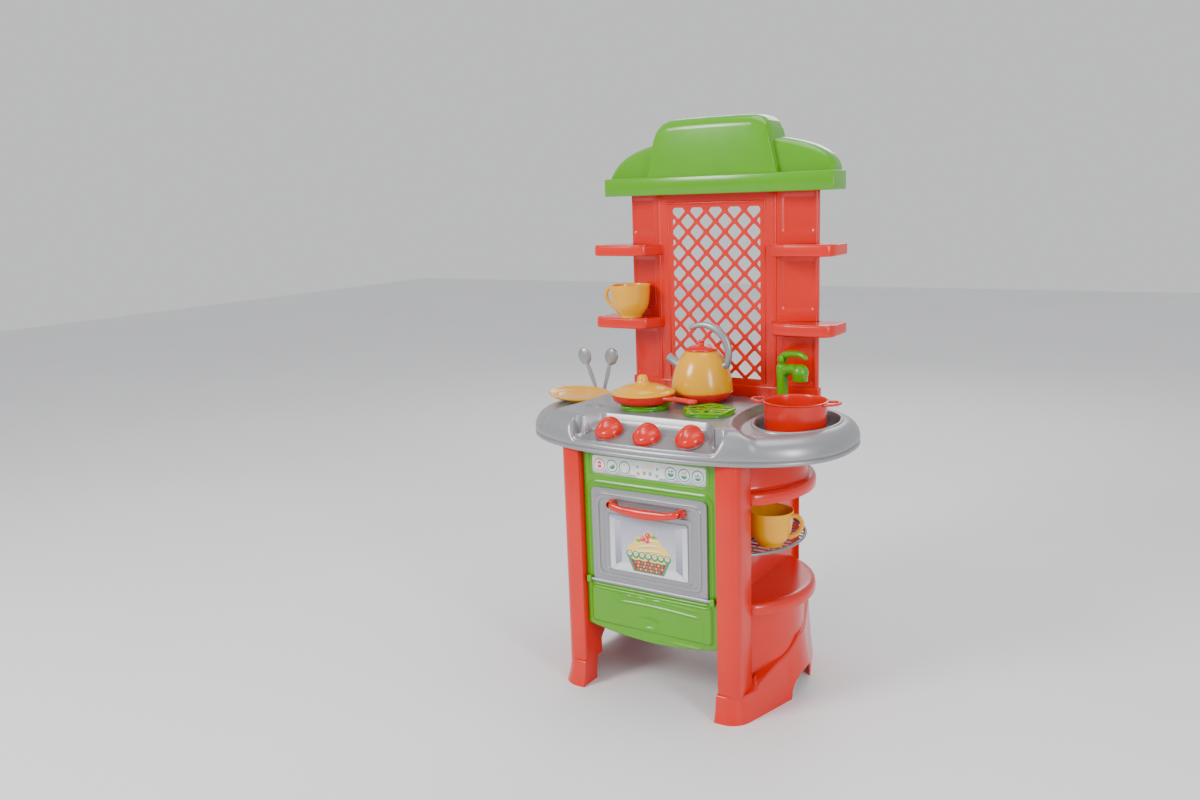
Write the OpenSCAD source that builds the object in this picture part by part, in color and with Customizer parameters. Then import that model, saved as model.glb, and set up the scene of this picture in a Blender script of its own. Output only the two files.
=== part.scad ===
// Toy kitchen: cabinet with an oven door, oval worktop with hob and sink,
// lattice tower with shelves, hood, and loose cookware.
// Millimetres. X right, Y to the back, Z up. Origin on the floor, centred.

/* [Cabinet] */
// Half width of the front panel, to the inside of the side units
panel_half_w = 108; // [95:1:120]
// Front face of the front panel
panel_y = -130; // [-132:1:-124]
// Lowest point of the front panel at its corners
panel_z = 98; // [80:1:110]
// Depth of the bow in the panel's bottom edge
panel_bow = 12; // [4:1:20]
// Top of the cabinet, inside the worktop's skirt
cabinet_top = 372; // [368:1:376]
// Wall of the moulded shells
wall = 2.5; // [2:0.1:3]

/* [Oven] */
// Half width of the oven door
door_half_w = 93; // [80:1:96]
// Bottom of the oven door
door_z = 166; // [160:1:175]
// Top of the oven door
door_top = 310; // [290:1:316]
// Hinge pin radius
hinge_r = 2; // [1.5:0.1:2.2]
// Radial clearance of pins and shafts in their holes
run_gap = 0.06; // [0.02:0.01:0.09]

/* [Side units] */
// Radius of the round shelves in plan
shelf_r = 129.5; // [125:0.1:132]
// Underside of the upper side shelf
upper_shelf_z = 302; // [298:1:308]
// Underside of the lower side shelf
lower_shelf_z = 143; // [140:1:150]
// Height of the wire rack
rack_z = 226; // [215:1:235]
// Height of the foot's ledge at the front post
foot_h = 38; // [35:1:50]
// Height of the foot's ledge at the side
foot_side_h = 88; // [60:1:95]

/* [Worktop] */
// Width of the worktop
top_w = 496; // [490:1:530]
// Depth of the worktop
top_d = 320; // [316:1:330]
// Squareness of the worktop's oval
oval_n = 2.4; // [2.3:0.1:2.6]
// Bottom of the worktop's skirt
skirt_z = 366; // [362:1:368]
// Height of the deck round the sink
deck_z = 402; // [400:1:404]
// Height of the hob platform
hob_z = 412; // [410:1:416]
// Slope of the knob console in degrees
console_tilt = 22; // [15:1:28]

/* [Hob and knobs] */
// Burners' distance from the middle
burner_x = 55; // [50:1:58]
// Burners' place front to back
burner_y = -44; // [-48:1:-40]
// Burner radius
burner_r = 40; // [36:1:42]
// Burner height
burner_h = 7; // [5:1:9]
// Spacing of the knobs
knob_step = 64.5; // [58:0.5:68]
// Knob radius
knob_r = 21; // [18:1:23]

/* [Tower and hood] */
// Front face of the tower's lattice panel
tower_y = 88; // [87:1:92]
// Half width of the lattice panel
frame_half_w = 98; // [90:1:102]
// Half width of the tower
tower_half_w = 156; // [150:1:160]
// How far the wings run back
wing_back = 17; // [10:1:22]
// Half width of the lattice window
window_half_w = 73; // [65:1:80]
// Bottom of the lattice window
window_z = 440; // [435:1:450]
// Top of the lattice window
window_top = 697; // [680:1:700]
// Lattice cell, corner to corner
cell = 31.5; // [26:0.5:36]
// Lattice bar width
bar_w = 5; // [4:0.5:6]
// Top of the lower tower shelf
shelf_low_z = 529; // [520:1:540]
// Top of the upper tower shelf
shelf_high_z = 642; // [630:1:650]
// Half width across the tower shelves
shelf_half_w = 198; // [185:1:200]
// Bottom of the hood
hood_z = 717; // [712:1:722]
// Top of the hood
hood_top = 828; // [815:1:835]
// Half width of the hood
hood_half_w = 189; // [180:1:195]
// Height of the hood's band
band_h = 27; // [22:1:30]

/* [Cookware] */
// Cup radius at the rim
cup_r = 32; // [28:1:34]
// Cup height
cup_h = 52; // [45:1:56]
// Kettle radius
kettle_r = 46; // [42:1:47]
// Pan radius
pan_r = 47; // [44:1:47]
// Pot radius
pot_r = 44; // [40:1:45]
// Pot height
pot_h = 58; // [50:1:60]
// Plate radius
plate_r = 50; // [46:1:50]

/* [Hidden] */
$fn = 48;

red = "#e8472f";
green = "#7ab835";
silver = "#a8a8ad";
yellow = "#f8cd18";
pale = "#dfe0e6";

eps = 0.01;
post_out = 142;
post_front = -140;
post_back = -95;
post_round = 22;
side_back = 134;
shelf_cx = 58;
shelf_cy = -1;
drum_r = 112;
skirt_r = 117;
shelf_edge = 18;
rack_r = 116.5;
rack_bar = 1.6;
rear_flange = 9;
hinge_y = panel_y - 3.2;
hinge_z = door_z + 3;
door_t = 5;
door_front = panel_y - 4;
window_hw = 64;
window_lo = 188;
window_hi = 273;
handle_z = 287;
handle_half = 55;
label_z = 330;
label_h = 26;
label_hw = 91;
sticker_t = 0.4;
sink_x = 166.5;
sink_y = 5;
sink_a = 55;
sink_b = 78;
sink_floor = 374.8;
step_a = 72;
step_b = 130;
console_y = -125;
console_z = 389;
console_lip = 380.5;
console_hw = 121;
console_back_hw = 86;
knob_bow = 5;
knob_shaft_r = 4;
tap_x = 116;
tap_y = 70;
tap_turn = -17;
tap_peg_r = 6;
tap_pin_r = 2;
tap_pivot_z = 74.5;
hob_front = -100;
tower_back = 113;
tower_foot = 30;
shelf_t = 16;
shelf_front = 48;
hood_back = 128;
lobe_in = 60;
lobe_h = 62;
block_top_w = 74;
block_foot_w = 112;
kettle_x = 0;
kettle_y = 38;
kettle_top = 61;
pan_x = -burner_x;
pan_y = burner_y;
pan_z = hob_z + burner_h + 0.3;
pot_x = 165;
pot_y = 0;
pot_turn = 6;
plate_x = -199;
plate_y = 2;
plate_tilt = 4;
spoon_y = 80;
spoon_x = [-217, -204];
spoon_lean = [-21, 16];
spoon_l = 62;

// ---------- shared shapes ----------

// Outline of a squared oval
function oval(a, b, n) = [for (i = [0:95]) let (c = cos(i * 3.75), s = sin(i * 3.75))
    [a * sign(c) * pow(abs(c), 2 / n), b * sign(s) * pow(abs(s), 2 / n)]];

// A slab of the worktop's oval, set in from its edge
module top_slab(inset, z0, z1) {
    translate([0, 0, z0])
        linear_extrude(z1 - z0)
            polygon(oval(top_w / 2 - inset, top_d / 2 - inset, oval_n));
}

// An upright prism of a plain oval
module oval_prism(x, y, a, b, z0, z1) {
    translate([x, y, z0])
        linear_extrude(z1 - z0)
            polygon(oval(a, b, 2));
}

// A box from one corner to the other
module span(a, b) {
    translate(a)
        cube(b - a);
}

// A plate standing in the XZ plane with rounded corners
module rounded_plate(hw, z0, z1, y0, y1, r) {
    hull()
        for (x = [-hw + r, hw - r], z = [z0 + r, z1 - r])
            translate([x, y1, z])
                rotate([90, 0, 0])
                    cylinder(r = r, h = y1 - y0);
}

// ---------- cabinet ----------

module front_panel() {
    sag = panel_bow;
    bow_r = (pow(panel_half_w, 2) + sag * sag) / (2 * sag);
    color(green)
        difference() {
            union() {
                span([-panel_half_w, panel_y, panel_z - sag], [panel_half_w, panel_y + wall, cabinet_top]);
                for (s = [-1, 1])
                    span([s * panel_half_w - (s > 0 ? wall : 0), panel_y, panel_z],
                        [s * panel_half_w + (s > 0 ? 0 : wall), panel_y + 14, cabinet_top]);
                // drawer front in relief
                span([-96, panel_y - 4, panel_z + 10], [96, panel_y + eps, door_z - 4]);
                // lugs for the door's hinge pins
                for (s = [-1, 1])
                    span([s * 100.5 - 3.5, hinge_y - 4, hinge_z - 5], [s * 100.5 + 3.5, panel_y + eps,
                        hinge_z + 5]);
            }
            // bowed bottom edge
            difference() {
                span([-120, panel_y - 10, panel_z - sag - 10], [120, panel_y + 20, panel_z]);
                translate([0, panel_y + 30, panel_z - sag + bow_r])
                    rotate([90, 0, 0])
                        cylinder(r = bow_r, h = 60, $fn = 180);
            }
            // oven opening
            span([-84, panel_y - 1, door_z + 12], [84, panel_y + wall + 1, door_top - 9]);
            // hinge pin holes
            translate([-110, hinge_y, hinge_z])
                rotate([0, 90, 0])
                    cylinder(r = hinge_r + run_gap, h = 220);
        }
}

module control_label() {
    color(pale)
        rounded_plate(label_hw, label_z, label_z + label_h, panel_y - sticker_t, panel_y, 4);
}

module oven_door() {
    color(silver)
        difference() {
            union() {
                span([-door_half_w, door_front, hinge_z], [door_half_w, door_front + door_t - 1.5,
                    door_top]);
                translate([-door_half_w, hinge_y, hinge_z])
                    rotate([0, 90, 0])
                        cylinder(r = 2.8, h = 2 * door_half_w);
                rounded_plate(door_half_w - 9, door_z + 10, door_top - 8, door_front - 2,
                    door_front + eps, 8);
            }
            span([-window_hw, door_front - 3, window_lo], [window_hw, door_front + 1, window_hi]);
            translate([-door_half_w - 1, hinge_y, hinge_z])
                rotate([0, 90, 0])
                    cylinder(r = hinge_r, h = 2 * door_half_w + 2);
        }
}

module door_hinge_pins() {
    color(silver)
        for (s = [-1, 1])
            translate([s > 0 ? door_half_w - 12 : -door_half_w - 9, hinge_y, hinge_z])
                rotate([0, 90, 0])
                    cylinder(r = hinge_r, h = 21);
}

module oven_window_label() {
    color(pale)
        rounded_plate(window_hw - 1, window_lo + 1, window_hi - 1, door_front + 1 - sticker_t,
            door_front + 1, 3);
}

module door_handle() {
    base_y = door_front - 2;
    color(red) {
        translate([-handle_half, base_y - 12, handle_z])
            rotate([0, 90, 0])
                cylinder(r = 5, h = 2 * handle_half);
        for (s = [-1, 1]) {
            translate([s * handle_half, base_y - 12, handle_z])
                sphere(r = 7);
            translate([s * handle_half, base_y, handle_z])
                rotate([90, 0, 0])
                    cylinder(r = 5, h = 12);
        }
    }
}

// Plan of the front post, set in by t
module post_outline(t) {
    intersection() {
        union() {
            translate([panel_half_w, post_front + t])
                square([post_out - post_round - panel_half_w, post_back - post_front - 2 * t]);
            translate([panel_half_w, post_front + post_round])
                square([post_out - panel_half_w - t, post_back - post_front - post_round - t]);
            translate([post_out - post_round, post_front + post_round])
                circle(r = post_round - t);
        }
        // the inner side is flat
        translate([panel_half_w + t, post_front])
            square([60, post_back - post_front]);
    }
}

// Plan of a round shelf, set in by t, closed by the inner wall
module shelf_outline(r) {
    intersection() {
        translate([shelf_cx, shelf_cy])
            circle(r = r, $fn = 120);
        translate([panel_half_w, post_back - 8])
            square([120, 130 - post_back]);
    }
}

// A round shelf: a top plate with a lip turned down
module round_shelf(z0) {
    translate([0, 0, z0 + shelf_edge - wall])
        linear_extrude(wall)
            shelf_outline(shelf_r);
    translate([0, 0, z0])
        linear_extrude(shelf_edge)
            difference() {
                shelf_outline(shelf_r);
                translate([-eps, 0])
                    shelf_outline(shelf_r - wall);
            }
}

// A curved wall of radius r between two heights
module skirt(z0, z1, r) {
    translate([0, 0, z0])
        linear_extrude(z1 - z0)
            difference() {
                shelf_outline(r);
                translate([-eps, 0])
                    shelf_outline(r - wall);
            }
}

// Outline of the foot, flared by g
module foot_outline(g) {
    intersection() {
        union() {
            translate([shelf_cx, shelf_cy])
                circle(r = drum_r + g / 2, $fn = 96);
            translate([post_out - post_round, post_front + post_round])
                circle(r = post_round + g / 2);
            translate([panel_half_w, post_front - g / 2])
                square([post_out - post_round - panel_half_w, 60]);
            translate([panel_half_w, -110])
                square([post_out - panel_half_w + g / 2, 60]);
            translate([panel_half_w, 40])
                square([22 + g / 2, side_back - 40]);
        }
        translate([panel_half_w, -160])
            square([140, 160 + side_back]);
    }
}

// Side view of the foot: a ledge that climbs from the front post to the side
module foot_profile(drop) {
    translate([panel_half_w - 1, 0, 0])
        rotate([90, 0, 90])
            linear_extrude(140)
                polygon([[-170, -2], [side_back + 5, -2], [side_back + 5, foot_side_h - drop], [-12,
                    foot_side_h - drop],
                    [post_back, foot_h - drop], [-170, foot_h - drop]]);
}

module side_unit() {
    difference() {
        union() {
            // inner wall
            span([panel_half_w, post_front + 4, 0], [panel_half_w + wall, side_back, cabinet_top]);
            // front post
            linear_extrude(cabinet_top)
                difference() {
                    post_outline(0);
                    post_outline(wall);
                }
            // rear flange
            span([panel_half_w, side_back - wall, 0], [panel_half_w + rear_flange, side_back, cabinet_top]);
            round_shelf(upper_shelf_z);
            round_shelf(lower_shelf_z);
            // curved skirts above the upper shelf and below the lower one
            skirt(upper_shelf_z + shelf_edge - wall, cabinet_top, skirt_r);
            skirt(foot_h - 4, lower_shelf_z + shelf_edge - wall, drum_r);
            // flared foot
            difference() {
                intersection() {
                    hull() {
                        linear_extrude(1)
                            foot_outline(20);
                        translate([0, 0, foot_side_h - 1])
                            linear_extrude(1)
                                foot_outline(4);
                    }
                    foot_profile(0);
                }
                intersection() {
                    translate([0, 0, -1])
                        linear_extrude(foot_side_h)
                            intersection() {
                                foot_outline(0);
                                translate([panel_half_w + wall, -150])
                                    square([140, 150 + side_back - wall]);
                            }
                    foot_profile(wall);
                }
            }
        }
        // arch between the front and rear feet, through the inner wall
        translate([panel_half_w - 5, 0, 0])
            rotate([90, 0, 90])
                linear_extrude(5 + wall + eps)
                    polygon(oval(112, 96, 2.4));
        // arch in the outer side of the foot
        translate([panel_half_w + 24, 8, 0])
            rotate([90, 0, 90])
                linear_extrude(100)
                    polygon(oval(42, 34, 2.6));
    }
}

module right_side_unit() {
    color(red)
        side_unit();
}

module left_side_unit() {
    color(red)
        mirror([1, 0, 0])
            side_unit();
}

// Wire rack: an outer bow with straight bars across it
module rack() {
    x0 = panel_half_w + wall;
    translate([0, 0, rack_z]) {
        linear_extrude(3)
            difference() {
                rack_outline(0);
                rack_outline(4);
            }
        span([x0, post_back + 0.3, 0], [x0 + 4, 102, 3]);
        for (y = [-84:13:92])
            span([x0 + 1, y, 0.4], [shelf_cx + sqrt(pow(rack_r, 2) - pow(abs(y - shelf_cy) + 3, 2))
                - 1, y + 2 * rack_bar, 2.6]);
    }
}

module rack_outline(t) {
    intersection() {
        translate([shelf_cx, shelf_cy])
            circle(r = rack_r - t, $fn = 120);
        translate([panel_half_w + wall, post_back + 0.3 + t])
            square([100, 220]);
    }
}

module right_rack() {
    color(silver)
        rack();
}

module left_rack() {
    color(silver)
        mirror([1, 0, 0])
            rack();
}

// Back panel with three rows of upright slots
module back_panel() {
    w = panel_half_w - 0.3;
    color(silver)
        translate([0, side_back - 8 + wall, 0])
            rotate([90, 0, 0])
                linear_extrude(wall)
                    difference() {
                        translate([-w, panel_z])
                            square([2 * w, cabinet_top - panel_z]);
                        for (row = [0:2], k = [-3:3])
                            translate([k * 26, 160 + row * 68])
                                upright_slot(7, 32);
                    }
}

// Slot of radius r and straight length l, centred
module upright_slot(r, l) {
    translate([-r, -l / 2])
        square([2 * r, l]);
    for (z = [-l / 2, l / 2])
        translate([0, z])
            circle(r = r);
}

module oven_shelf() {
    color(silver)
        difference() {
            span([-panel_half_w + 0.3, panel_y + wall + 14.5, door_z + 4],
                [panel_half_w - 0.3, side_back - 9, door_z + 4 + wall]);
            for (k = [-4:4])
                span([k * 20 - 4, -80, door_z], [k * 20 + 4, 90, door_z + 20]);
        }
}

// ---------- worktop ----------

// Moves to the console's sloping face, Z along its normal
module on_console(x, y) {
    translate([x, y, console_z + (y - console_y) * tan(console_tilt)])
        rotate([console_tilt, 0, 0])
            children();
}

// Plan of the console recess, grown by g, running out over the front rim
module console_plan(g) {
    back = hob_front + g;
    polygon([[-console_hw - g, -200], [console_hw + g, -200], [console_hw + g, -136],
        [console_back_hw + g, back],
        [-console_back_hw - g, back], [-console_hw - g, -136]]);
}

// Everything above the console's sloping floor, moved down by drop
module above_console(drop) {
    translate([0, console_y, console_z])
        rotate([console_tilt, 0, 0])
            span([-200, -28, -drop], [200, 120, 120]);
}

module worktop_solid() {
    top_slab(0, skirt_z, skirt_z + 16);
    top_slab(4, skirt_z, deck_z - 11);
    top_slab(10, skirt_z, deck_z - 5);
    top_slab(20, skirt_z, deck_z);
    // hob platform, cut away round the sink
    difference() {
        top_slab(28, deck_z - 1, hob_z);
        oval_prism(sink_x, sink_y, step_a, step_b, deck_z, hob_z + 1);
        span([sink_x, -200, deck_z], [300, 200, hob_z + 1]);
        span([-300, -200, deck_z], [-148, 200, hob_z + 1]);
    }
}

module worktop() {
    knob_places = [-1, 0, 1];
    color(silver)
        difference() {
            union() {
                difference() {
                    worktop_solid();
                    top_slab(wall, skirt_z - 1, skirt_z + 13);
                    top_slab(4 + wall, skirt_z - 1, deck_z - 14);
                    top_slab(10 + wall, skirt_z - 1, deck_z - 8);
                    top_slab(20 + wall, skirt_z - 1, deck_z - wall);
                }
                // console floor
                intersection() {
                    worktop_solid();
                    linear_extrude(hob_z + 10)
                        console_plan(wall);
                    union() {
                        above_console(wall);
                        span([-200, -170, skirt_z + 4], [200, -145, hob_z]);
                    }
                }
                // sink bowl
                oval_prism(sink_x, sink_y, sink_a + wall, sink_b + wall, sink_floor - wall, deck_z);
                // cutlery wells
                for (i = [0, 1])
                    translate([spoon_x[i], spoon_y, deck_z - 14])
                        rotate([0, spoon_lean[i], 0])
                            cylinder(r = 5, h = 13);
            }
            intersection() {
                linear_extrude(hob_z + 10)
                    console_plan(0);
                union() {
                    above_console(0);
                    span([-200, -170, console_lip], [200, -140, hob_z + 5]);
                }
            }
            oval_prism(sink_x, sink_y, sink_a, sink_b, sink_floor, deck_z + 5);
            for (k = knob_places)
                on_console(k * knob_step, console_y - knob_bow * (1 - abs(k)) + 2)
                    translate([0, 0, -10])
                        cylinder(r = knob_shaft_r + run_gap, h = 20);
            translate([tap_x, tap_y, deck_z - 20])
                cylinder(r = tap_peg_r + run_gap, h = 40);
            // slot that the tower's foot stands in
            translate([0, 0, deck_z])
                linear_extrude(20)
                    tower_plan();
            for (i = [0, 1])
                translate([spoon_x[i], spoon_y, deck_z])
                    rotate([0, spoon_lean[i], 0])
                        translate([0, 0, -12])
                            cylinder(r = 3.6, h = 30);
        }
}

// A burner's outline: a disc with five lobes
module burner_outline() {
    circle(r = burner_r - 6);
    for (a = [0:72:288])
        rotate(a + 36)
            translate([burner_r - 14, 0])
                circle(r = 14);
}

module burner(x) {
    translate([x, burner_y, hob_z]) {
        linear_extrude(2)
            burner_outline();
        linear_extrude(burner_h)
            difference() {
                burner_outline();
                for (a = [0:72:288])
                    rotate(a)
                        translate([8, -2.5])
                            square([burner_r - 16, 5]);
                for (a = [0:72:288])
                    rotate(a + 36)
                        translate([burner_r - 14, 0])
                            circle(r = 6);
            }
    }
}

module left_burner() {
    color(green)
        burner(-burner_x);
}

module right_burner() {
    color(green)
        burner(burner_x);
}

module knob(k) {
    color(red)
        on_console(k * knob_step, console_y - knob_bow * (1 - abs(k)) + 2) {
            translate([0, 0, 0.5])
                intersection() {
                    cylinder(r = knob_r, h = 30);
                    union() {
                        cylinder(r = knob_r, h = 3);
                        translate([0, 0, 3])
                            sphere(r = knob_r - 0.3);
                    }
                }
            translate([0, 0, -7])
                cylinder(r = knob_shaft_r, h = 8);
            translate([0, 0, -wall - 3.5])
                cylinder(r = knob_shaft_r + 2, h = 2.5);
        }
}

module knob_left() {
    knob(-1);
}

module knob_middle() {
    knob(0);
}

module knob_right() {
    knob(1);
}

module tap_body() {
    color(green)
        translate([tap_x, tap_y, deck_z])
            rotate(tap_turn) {
                translate([0, 0, -9])
                    cylinder(r = tap_peg_r, h = 10);
                translate([0, 0, 0.3])
                    cylinder(r = 11, h = 4);
                translate([0, 0, 4])
                    cylinder(r = 9, h = 64);
                tap_tongue();
                // spout: an elbow that ends facing down
                translate([0, 0, 58])
                    rotate([0, 90, 0])
                        cylinder(r = 8, h = 33);
                translate([33, 0, 58])
                    sphere(r = 12);
                difference() {
                    translate([33, 0, 45])
                        cylinder(r = 11, h = 13);
                    translate([33, 0, 44])
                        cylinder(r = 8, h = 8);
                }
            }
}

// Rounded tongue on top of the column, drilled for the lever's pin
module tap_tongue() {
    difference() {
        union() {
            span([-5, -2.5, 60], [5, 2.5, tap_pivot_z]);
            translate([0, 0, tap_pivot_z])
                rotate([90, 0, 0])
                    cylinder(r = 5, h = 5, center = true);
        }
        translate([0, 0, tap_pivot_z])
            rotate([90, 0, 0])
                cylinder(r = tap_pin_r + run_gap, h = 20, center = true);
    }
}

// Lever: a fork over the tongue, its pin, and the arm
module tap_lever() {
    color(green)
        translate([tap_x, tap_y, deck_z + tap_pivot_z])
            rotate(tap_turn)
                rotate([90, 0, 0]) {
                    cylinder(r = tap_pin_r, h = 12, center = true);
                    for (y = [-6, 2.9])
                        translate([0, 0, y]) {
                            cylinder(r = 6, h = 3.1);
                            rotate(8)
                                translate([0, -3, 0])
                                    cube([9, 8, 3.1]);
                        }
                    rotate(8)
                        span([6.5, -3, -6], [46, 5, 6]);
                }
}

// ---------- tower and hood ----------

// Plan of the tower's shell
module tower_plan() {
    back = tower_y + wing_back;
    t = wall + 0.5;
    polygon([[-tower_half_w, tower_back], [-tower_half_w, back], [-frame_half_w, tower_y],
        [frame_half_w, tower_y], [tower_half_w, back], [tower_half_w, tower_back],
        [tower_half_w - t, tower_back], [tower_half_w - t, back + t], [frame_half_w - t, tower_y + t],
        [-frame_half_w + t, tower_y + t], [-tower_half_w + t, back + t], [-tower_half_w + t, tower_back]]);
}

module tower_shelf(z) {
    r = 18;
    difference() {
        translate([0, 0, z - shelf_t])
            linear_extrude(shelf_t)
                union() {
                    translate([frame_half_w - 6, shelf_front + 10])
                        square([shelf_half_w - r - frame_half_w + 6, 116 - shelf_front - 10]);
                    translate([frame_half_w + 10, shelf_front])
                        square([shelf_half_w - r - frame_half_w - 10, 30]);
                    translate([frame_half_w + 6, shelf_front + 12])
                        circle(r = 12);
                    translate([shelf_half_w - r - 10, shelf_front + r])
                        square([r + 10, 116 - shelf_front - r]);
                    translate([shelf_half_w - r, shelf_front + r])
                        circle(r = r);
                }
        // the room behind the wings stays open
        translate([0, 0, z - shelf_t - 1])
            linear_extrude(shelf_t + 2)
                polygon([[80, tower_y + 3], [frame_half_w, tower_y + 2], [tower_half_w - 1,
                    tower_y + wing_back + 2],
                    [tower_half_w - 1, 130], [80, 130]]);
        // hollow underside
        span([frame_half_w + 12, shelf_front + 3, z - shelf_t - 1], [shelf_half_w - 10, 84, z - 3]);
    }
}

module tower() {
    color(red)
        difference() {
            union() {
                translate([0, 0, deck_z])
                    linear_extrude(hood_z + 12 - deck_z)
                        tower_plan();
                // foot band, a little wider
                translate([0, 0, hob_z])
                    linear_extrude(tower_foot - 12)
                        difference() {
                            polygon([[-tower_half_w - 3, tower_back], [-tower_half_w - 3,
                                tower_y + wing_back - 2],
                                [-frame_half_w, tower_y - 2], [frame_half_w, tower_y - 2],
                                [tower_half_w + 3, tower_y + wing_back - 2], [tower_half_w + 3,
                                    tower_back]]);
                            polygon([[-tower_half_w + 1, 200], [-tower_half_w + 1, tower_y + wing_back + 1],
                                [-frame_half_w, tower_y + 1], [frame_half_w, tower_y + 1],
                                [tower_half_w - 1, tower_y + wing_back + 1], [tower_half_w - 1, 200]]);
                        }
                for (z = [shelf_low_z, shelf_high_z]) {
                    tower_shelf(z);
                    mirror([1, 0, 0])
                        tower_shelf(z);
                }
                // prongs that the hood sits on
                for (x = [-110, 0, 110])
                    span([x - 8, tower_y + (x == 0 ? 0.5 : 7), hood_z], [x + 8,
                        tower_y + (x == 0 ? 3.5 : 10), hood_z + band_h - 3]);
            }
            // lattice cells
            intersection() {
                span([-window_half_w, tower_y - 5, window_z], [window_half_w, tower_y + 8, window_top]);
                for (i = [-3:3], j = [-1:17])
                    if ((i + j) % 2 == 0)
                        translate([i * cell / 2, tower_y - 4, window_z + j * cell / 2])
                            rotate([-90, 0, 0])
                                cylinder(r = (cell - bar_w * sqrt(2)) / 2, h = 10, $fn = 4);
            }
        }
}

// Plan of the hood's band, set in by t
module hood_plan(t) {
    sag = 17;
    r = (pow(hood_half_w, 2) + sag * sag) / (2 * sag);
    intersection() {
        translate([0, tower_y - 9 - sag + r])
            circle(r = r - t, $fn = 240);
        translate([-hood_half_w + t, 20])
            square([2 * (hood_half_w - t), hood_back - t - 20]);
    }
}

// Half of the side lobes' front view, from the band up, set in by t
function lobe_line(t) = [for (i = [16:-1:0]) let (u = i / 16)
    [lobe_in + (hood_half_w - 3 - t - lobe_in) * u, lobe_z(u, t)]];
function lobe_z(u, t) = hood_z + band_h - 1 + (lobe_h + 1 - t) * pow(1 - pow(u, 2.2), 1 / 2.2);

// Half of the middle block's front view, from the band up, set in by t
function block_line(t) = [[block_foot_w - t, hood_z + band_h - 1], [block_foot_w - 18 - t, hood_top - 18],
    [block_foot_w - 23 - t, hood_top - 8 - t / 2], [block_top_w + 5 - t, hood_top - 2 - t],
    [block_top_w - 4, hood_top - t]];

// A hood shape: the half outline and its mirror image, run front to back
module hood_body(half, front, back) {
    outline = concat(half, [for (i = [len(half) - 1:-1:0]) [-half[i][0], half[i][1]]]);
    translate([0, back, 0])
        rotate([90, 0, 0])
            linear_extrude(back - front)
                polygon(outline);
}

module hood_room(t) {
    intersection() {
        union() {
            hood_body(lobe_line(t), 40, hood_back - t);
            hood_body(block_line(t), 40, hood_back - t);
        }
        translate([0, 0, hood_z])
            linear_extrude(hood_top - hood_z + 1)
                hood_plan(5 + t);
    }
}

module hood() {
    color(green)
        difference() {
            union() {
                translate([0, 0, hood_z])
                    linear_extrude(band_h)
                        hood_plan(0);
                hood_room(0);
            }
            translate([0, 0, hood_z - 1])
                linear_extrude(band_h - 2)
                    hood_plan(wall);
            hood_room(wall + 0.5);
            // the two rooms are joined behind the ledge that rests on the tower's prongs
            intersection() {
                translate([0, 0, -3])
                    hood_room(wall + 0.5);
                span([-hood_half_w, 102, hood_z], [hood_half_w, hood_back, hood_top]);
            }
        }
}

// ---------- cookware ----------

// Cup standing at the origin, handle towards +X
module cup() {
    t = 1.8;
    difference() {
        union() {
            rotate_extrude()
                polygon([[0, 0], [17, 0], [18, 3], [24, 9], [29, 20], [cup_r - 0.8, 36], [cup_r,
                    cup_h], [0, cup_h]]);
            translate([cup_r - 1, 0, cup_h * 0.58])
                rotate([90, 0, 0])
                    rotate_extrude()
                        translate([13, 0])
                            circle(r = 2.6, $fn = 20);
        }
        rotate_extrude()
            polygon([[0, 3], [16, 4], [23 - t, 11], [29 - t, 21], [cup_r - 0.8 - t, 37], [cup_r - t,
                cup_h + 1], [0, cup_h + 1]]);
    }
}

module upper_cup() {
    color(yellow)
        translate([-137, 63, shelf_low_z + 0.2])
            rotate(180)
                cup();
}

module lower_cup() {
    color(yellow)
        translate([144, -38, rack_z + 3.2])
            rotate(8)
                cup();
}

// Outside radius of the kettle at height z above its base ring
function kettle_out(z) = kettle_r * sqrt(1 - pow(z / 70, 2));

// The kettle's side, grown by g
function kettle_side(g) = [for (i = [0:10]) [kettle_out(kettle_top * i / 10) + g, kettle_top * i / 10]];

// The kettle's outside as a solid, a hair larger, on its base ring
module kettle_form() {
    rotate_extrude()
        polygon(concat([[0, 0]], kettle_side(0.05), [[0, kettle_top + 5]]));
}

module kettle_base() {
    color(red)
        translate([kettle_x, kettle_y, hob_z + 0.2])
            rotate_extrude()
                polygon([[0, 0], [30, 0], [38, 2], [kettle_r + 1, 12], [kettle_r + 1, 15], [0, 15]]);
}

module kettle_body() {
    t = 2.2;
    side = kettle_side(-t);
    inside = [for (i = [10:-1:1]) side[i]];
    color(yellow)
        translate([kettle_x, kettle_y, hob_z + 15.2])
            rotate_extrude()
                polygon(concat([[0, 0]], kettle_side(0), inside, [[kettle_r - t, 2.5], [0, 2.5]]));
}

module kettle_spout() {
    color(silver)
        translate([kettle_x, kettle_y, hob_z + 15.2])
            difference() {
                translate([-33, 0, 30])
                    rotate([0, -58, 0])
                        cylinder(r = 7, h = 34);
                kettle_form();
                translate([-33, 0, 30])
                    rotate([0, -58, 0])
                        translate([0, 0, 16])
                            cylinder(r = 4.5, h = 20);
            }
}

module kettle_handle() {
    color(silver)
        translate([kettle_x + 4, kettle_y, hob_z + 74])
            difference() {
                rotate([90, 0, 0])
                    translate([0, 0, -6])
                        difference() {
                            cylinder(r = 46, h = 12);
                            translate([-2, -3, -1])
                                cylinder(r = 36, h = 14);
                        }
                span([-60, -10, -60], [60, 10, -22]);
                span([-60, -10, -60], [-22, 10, 60]);
                translate([-4, 0, -58.8])
                    kettle_form();
            }
}

module kettle_lid() {
    color(red)
        translate([kettle_x, kettle_y, hob_z + 76.5])
            rotate_extrude()
                polygon([[0, -5], [17, -5], [17, 0], [24, 0], [24, 2], [14, 7], [4.5, 8], [4.5, 13],
                    [3, 15], [0, 15]]);
}

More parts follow.
